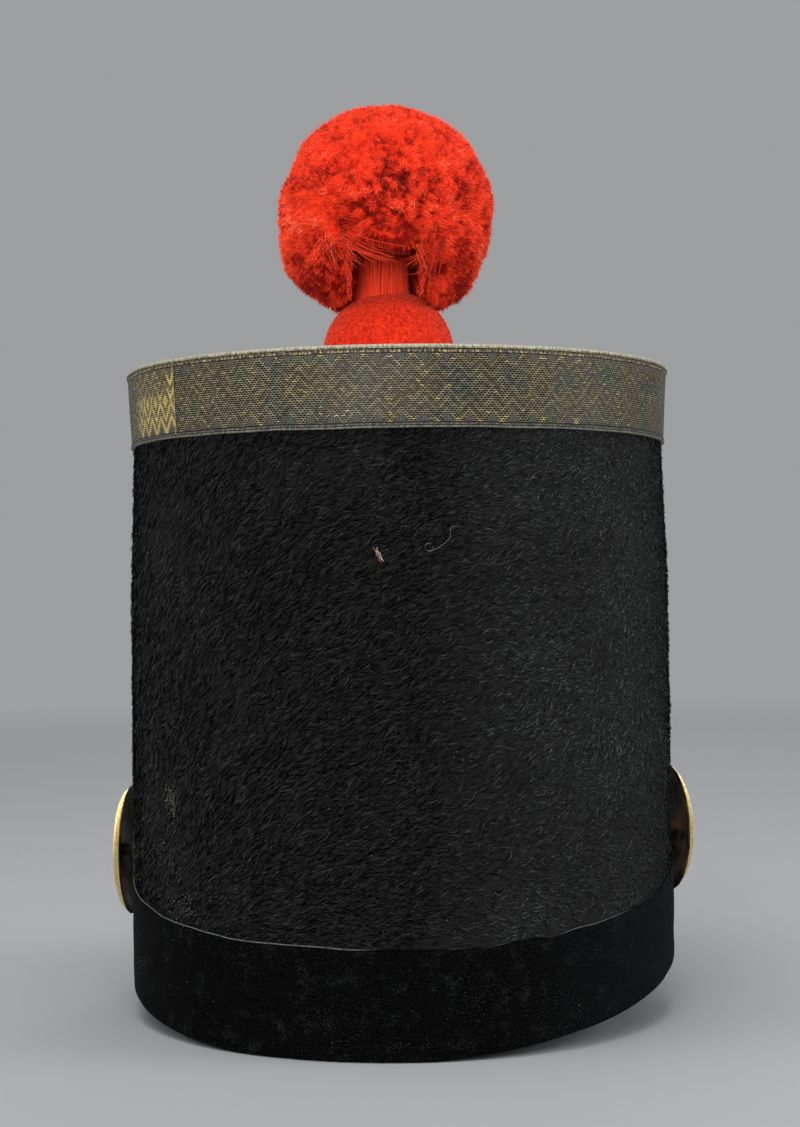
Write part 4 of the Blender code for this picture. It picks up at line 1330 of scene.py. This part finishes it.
def buildPartingStrands():
    # short wool along the edges of the parting, which hangs into it
    rng = np.random.default_rng(pompon["seed"] + 6)
    half, wider = pompon["slot"][:2]
    overhead, beside = partingStrands["overhead"], partingStrands["beside"]
    side = rng.choice((-1, 1), beside)
    edge = half + np.where(side < 0, wider + 0.0004, 0.0) + rng.uniform(0, 0.0012, beside)
    x = np.concatenate((rng.uniform(-half - wider, half, overhead), side * edge))
    top = partingAt(np.outer(x, (1, 0, 0)))[0][:overhead]
    z = np.concatenate((-top + rng.uniform(-0.0002, 0.0014, overhead), rng.uniform(-0.0375, -0.0150, beside)))
    count = len(x)
    deep = np.abs(rng.normal(0, 0.0026, count))
    front = unit(np.stack((x, -np.sqrt(np.maximum(partingStrands["reach"] ** 2 - x**2 - z**2, 1e-6)), z), -1))
    root = front * (clippedReach(front) - 0.0026)[:, None]
    root[:, 1] += deep
    aside = rng.normal(0.15, 0.2, overhead)
    aside = np.concatenate((aside, -side * rng.uniform(0.0, np.where(side < 0, 0.25, 0.6))))
    run = np.stack((aside, rng.normal(0.05, 0.35, count) - 0.25 * (deep < 0.001), -np.ones(count)), -1)
    run = unit(run + rng.normal(0, 0.18, run.shape))
    short = rng.uniform(*partingStrands["overheadLength"], count)
    long = rng.uniform(*partingStrands["besideLength"], count)
    length = np.where(np.arange(count) < overhead, short, long)[:, None]
    bend = rng.normal(0, 0.0003, (count, 3))
    paths = np.stack((root, root + run * length * 0.5 + bend, root + run * length), 1) + pomponMiddle
    # strands rooted deeper in the parting are darker: painted shade
    joinStrands("pomponPartingStrands", scarletWool, paths, crossFrame(run, rng),
                rng.uniform(*partingStrands["halfWidth"], count),
                np.clip(0.62 - deep * 110 + rng.normal(0, 0.16, count), 0, 1), (1.0, 1.0, 0.25))


def buildHollowStrands():
    # the cut ends seen from below, from the top of the neck out to the rim
    rng = np.random.default_rng(pompon["seed"] + 1)
    turn = rng.uniform(0, 360, pompon["hollowCount"])
    turn = turn[np.abs((turn + 270) % 360 - 180) > pompon["hollowOpen"]]
    count = len(turn)
    stop = rng.uniform(0.5, 1.0, count)
    over = rng.uniform(0.0001, 0.0012, count)
    spin = rng.normal(0, 6.0, count)
    shares, rings, drops = zip(*pompon["hollowStrands"])
    points = []
    for t in np.linspace(0, 1, 5):
        share = shares[0] + 0.44 * t * stop
        ring, drop = np.interp(share, shares, rings) - over, np.interp(share, shares, drops)
        points.append(around(np.radians(turn + spin * t), ring, ring, -drop))
    paths = np.stack(points, 1) + pomponMiddle
    paths[:, 1:] += rng.normal(0, 0.0002, paths[:, 1:].shape)
    # their tones are kept low: painted shade in the hollow
    joinStrands("pomponHollowStrands", scarletWool, paths, crossFrame(chord(paths), rng),
                rng.uniform(*pompon["hollowHalfWidth"], count), rng.uniform(0, 0.6, count),
                (1, 1, 1, 0.9, 0.4), sides=3)


lowerBall = {
    "middle": (0.0003, 0.0793, 0.2242),
    "radius": 0.0251,
    "floor": 0.2038,
    "strands": 12000,
    "strandLength": (0.0007, 0.0014),
    "halfWidth": (0.00011, 0.00018),
    "lowest": -0.78,
    "fuzz": {"count": 6000, "length": (0.0010, 0.0019), "halfWidth": 0.00009, "lowest": -0.7, "seed": 32},
    "seed": 6,
}
lowerMiddle = np.array(lowerBall["middle"])


def lowerReach(directions):
    return lowerBall["radius"] + 0.00035 * softNoise(directions, 0.45, 2.5)


def buildLowerBall():
    bm, directions = roundBall(6)
    relief = 0.00022 * softNoise(directions, 0.07, 3.3)
    points = lowerMiddle + directions * (lowerReach(directions) - 0.0005 + relief)[:, None]
    points[:, 2] = np.maximum(points[:, 2], lowerBall["floor"])
    moveVerts(bm, points)
    # low places in its relief are darkened: painted shade
    addFelted(bm, "pomponLowerBall", np.clip(-relief * 1800, 0, 0.35), "pompon_ball_lower")
    rng = np.random.default_rng(lowerBall["seed"])
    directions = evenDirections(lowerBall["strands"], rng, 0.012)
    directions = directions[directions[:, 2] > lowerBall["lowest"]]
    lay = levelled(rng.normal(0, 1, directions.shape), directions)
    long = rng.uniform(*lowerBall["strandLength"], len(directions))[:, None]
    root = lowerMiddle + directions * (lowerReach(directions) - 0.0009)[:, None]
    middle = root + (directions * 0.45 + lay * 0.3) * long
    paths = np.stack((root, middle, root + (directions * 0.7 + lay * 0.75) * long), 1)
    paths[:, :, 2] = np.maximum(paths[:, :, 2], lowerBall["floor"])
    facing = (unit(np.cross(chord(paths), directions))[:, None], directions[:, None])
    half = rng.uniform(*lowerBall["halfWidth"], len(directions))
    joinStrands("pomponLowerWool", clippedWool, paths, facing, half, rng.uniform(0.15, 1.0, len(directions)),
                (1.0, 1.0, 0.3))


pomponNeck = {
    "radius": 0.0104,
    "middle": (-0.0024, 0.0793),
    "low": 0.2446,
    "high": 0.2640,
    "flare": 0.0009,
    "yarns": 150,
    "yarn": 0.00036,
}


def buildNeck():
    rng = np.random.default_rng(pompon["seed"] + 3)
    count, low, high = pomponNeck["yarns"], pomponNeck["low"], pomponNeck["high"]
    turn = np.linspace(0, math.tau, count, endpoint=False) + rng.normal(0, 0.018, count)
    radius = pomponNeck["radius"] - 0.0002 + rng.uniform(-0.00008, 0.00008, count)
    slip = rng.normal(0, 0.03, count)
    points = []
    for t in np.linspace(0, 1, 8):
        ring = radius + pomponNeck["flare"] * (2 * t - 1) ** 2
        sway = turn + 0.03 * np.sin(turn * 5 + 3 * t) + slip * t
        points.append(around(sway, ring, ring, low + (high - low) * t))
    paths = np.stack(points, 1) + (*pomponNeck["middle"], 0.0)
    joinStrands("pomponNeck", neckWool, paths, crossFrame(chord(paths), rng),
                pomponNeck["yarn"] * rng.uniform(0.8, 1.15, count), rng.uniform(0.4, 0.8, count),
                sides=6, pointed=False, nodeName="pompon_neck")
    core, tall = pomponNeck["radius"] - 0.0007, high - low + 0.001
    bm = bmesh.new()
    bmesh.ops.create_cone(bm, cap_ends=True, segments=48, radius1=core, radius2=core, depth=tall)
    bmesh.ops.translate(bm, verts=bm.verts, vec=(*pomponNeck["middle"], (low + high) / 2))
    addPiece(meshFrom(bm, "pomponNeckCore"), feltedWool)


buildUpperBody()
buildUpperStrands()
buildLooseStrands()
buildPartingStrands()
buildHollowStrands()
buildFuzz("pomponFuzz", clippedReach, pomponMiddle, pompon["fuzz"], parted=True)
buildLowerBall()
buildFuzz("pomponLowerFuzz", lowerReach, lowerMiddle, lowerBall["fuzz"], parted=False)
buildNeck()
print("pompon tied")

# Studio: a pale floor, soft lights, and the camera behind the hat.
studio = {
    "distance": 0.7143,
    "height": 0.1252,
    "yaw": 1.75,
    "roll": 0.0125,
    # in pixels of the photo
    "focal": 2172.0,
    "centreX": 399.0,
    "horizon": 618.0,
    "pictureSize": (800, 1127),
    "sensor": 36.0,
    "worldColour": (0.80, 0.82, 0.84),
    "worldStrength": 0.42,
    "floorColour": (0.44, 0.45, 0.46),
    "floorFade": (0.45, 2.6),
    "floorSize": 20.0,
    "floorDrop": 0.0002,
    # place, what it shines at, size, watts and tint
    "lights": {
        "topSoftbox": ((-0.15, -0.30, 1.35), (0, 0, 0.20), 0.9, 8.0, (1, 1, 1)),
        "cameraSoftbox": ((-0.35, -1.50, 0.85), (0, 0, 0.20), 0.9, 7.0, (1, 1, 1)),
        "lowFill": ((-0.40, -1.50, 0.26), (0, 0, 0.22), 0.45, 12.0, (1, 1, 1)),
        "leftSoftbox": ((-1.25, -0.35, 0.55), (0, 0, 0.15), 0.6, 2.0, (1, 1, 1)),
        "rightSoftbox": ((1.25, -0.30, 0.50), (0, 0, 0.15), 0.7, 7.0, (1, 1, 1)),
        "frontFill": ((0.3, 1.5, 1.1), (0, 0, 0.15), 0.9, 4.0, (1, 1, 1)),
        "leftCard": ((-0.72, 1.10, 0.14), (-0.10, 0, 0.08), 0.8, 4.6, (1.0, 0.91, 0.72)),
        "rightCard": ((0.62, 1.25, 0.14), (0.10, 0, 0.08), 0.8, 3.2, (1.0, 0.95, 0.82)),
    },
}


def placeCamera():
    data = bpy.data.cameras.new("camera")
    width, height = studio["pictureSize"]
    data.sensor_width = studio["sensor"]
    data.lens = studio["focal"] / height * studio["sensor"]
    data.clip_start = 0.01
    camera = addObject("camera", data)
    yaw = math.radians(studio["yaw"])
    back = Vector((-math.sin(yaw), -math.cos(yaw), 0.0)) * studio["distance"]
    pitch = math.atan((studio["horizon"] - height / 2) / studio["focal"])
    heading = yaw + math.atan((width / 2 - studio["centreX"]) / studio["focal"])
    ahead = math.cos(pitch)
    forward = Vector((math.sin(heading) * ahead, math.cos(heading) * ahead, math.sin(pitch)))
    turned = forward.to_track_quat("-Z", "Y").to_matrix().to_4x4()
    place = Matrix.Translation(back + Vector((0, crownForm["axisY"], studio["height"])))
    camera.matrix_world = place @ turned @ Matrix.Rotation(-studio["roll"], 4, "Z")
    bpy.context.scene.camera = camera


def addLight(name, place, aim, size, power, tint):
    data = bpy.data.lights.new(name, "AREA")
    data.size, data.energy, data.color = size, power, tint
    light = addObject(name, data)
    light.location = place
    light.rotation_euler = (Vector(aim) - Vector(place)).to_track_quat("-Z", "Y").to_euler()
    return light


def layFloor():
    # the floor fades out some way from the hat, so that it has no far edge
    bm = bmesh.new()
    bmesh.ops.create_grid(bm, x_segments=1, y_segments=1, size=studio["floorSize"])
    bmesh.ops.translate(bm, verts=bm.verts, vec=(0, 0, -studio["floorDrop"]))
    mesh = meshFrom(bm, "floor")
    paint = bpy.data.materials.new("paleFloor")
    paint.use_nodes = True
    tree = paint.node_tree
    fromHat = addNode(tree, "ShaderNodeVectorMath", {0: objectPlace(tree)}, "Value", operation="LENGTH")
    mesh.materials.append(finishMaterial(paint, {
        "Roughness": 0.9, "Specular IOR Level": 0.1, "Base Color": studio["floorColour"],
        "Alpha": fromHat.stretch(*studio["floorFade"], 1.0, 0.0)}))
    floor = addObject("floor", mesh)
    return floor


def linkLight(name, light, pieces, state):
    # a light that shines on these pieces alone, or on all but them
    receivers = bpy.data.collections.new(name)
    for piece in pieces:
        receivers.objects.link(piece)
    for item in receivers.collection_objects:
        item.light_linking.link_state = state
    light.light_linking.receiver_collection = receivers


placeCamera()
lights = {name: addLight(name, *values) for name, values in studio["lights"].items()}
floor = layFloor()
# two cards behind the hat give the bosses their bright edge
bosses = [bpy.data.objects[name] for name in ("bossLeftGilt", "bossRightGilt")]
linkLight("leftGilt", lights["leftCard"], bosses, "INCLUDE")
linkLight("rightGilt", lights["rightCard"], bosses, "INCLUDE")
# the low fill stands so close to the floor that it would burn a patch into it
linkLight("floorLess", lights["lowFill"], [floor], "EXCLUDE")

world = bpy.data.worlds.new("paleStudio")
world.use_nodes = True
feed(world.node_tree.nodes["Background"].inputs["Color"], studio["worldColour"])
feed(world.node_tree.nodes["Background"].inputs["Strength"], studio["worldStrength"])
bpy.context.scene.world = world
bpy.context.scene.view_settings.view_transform = "Standard"
print("studio set")
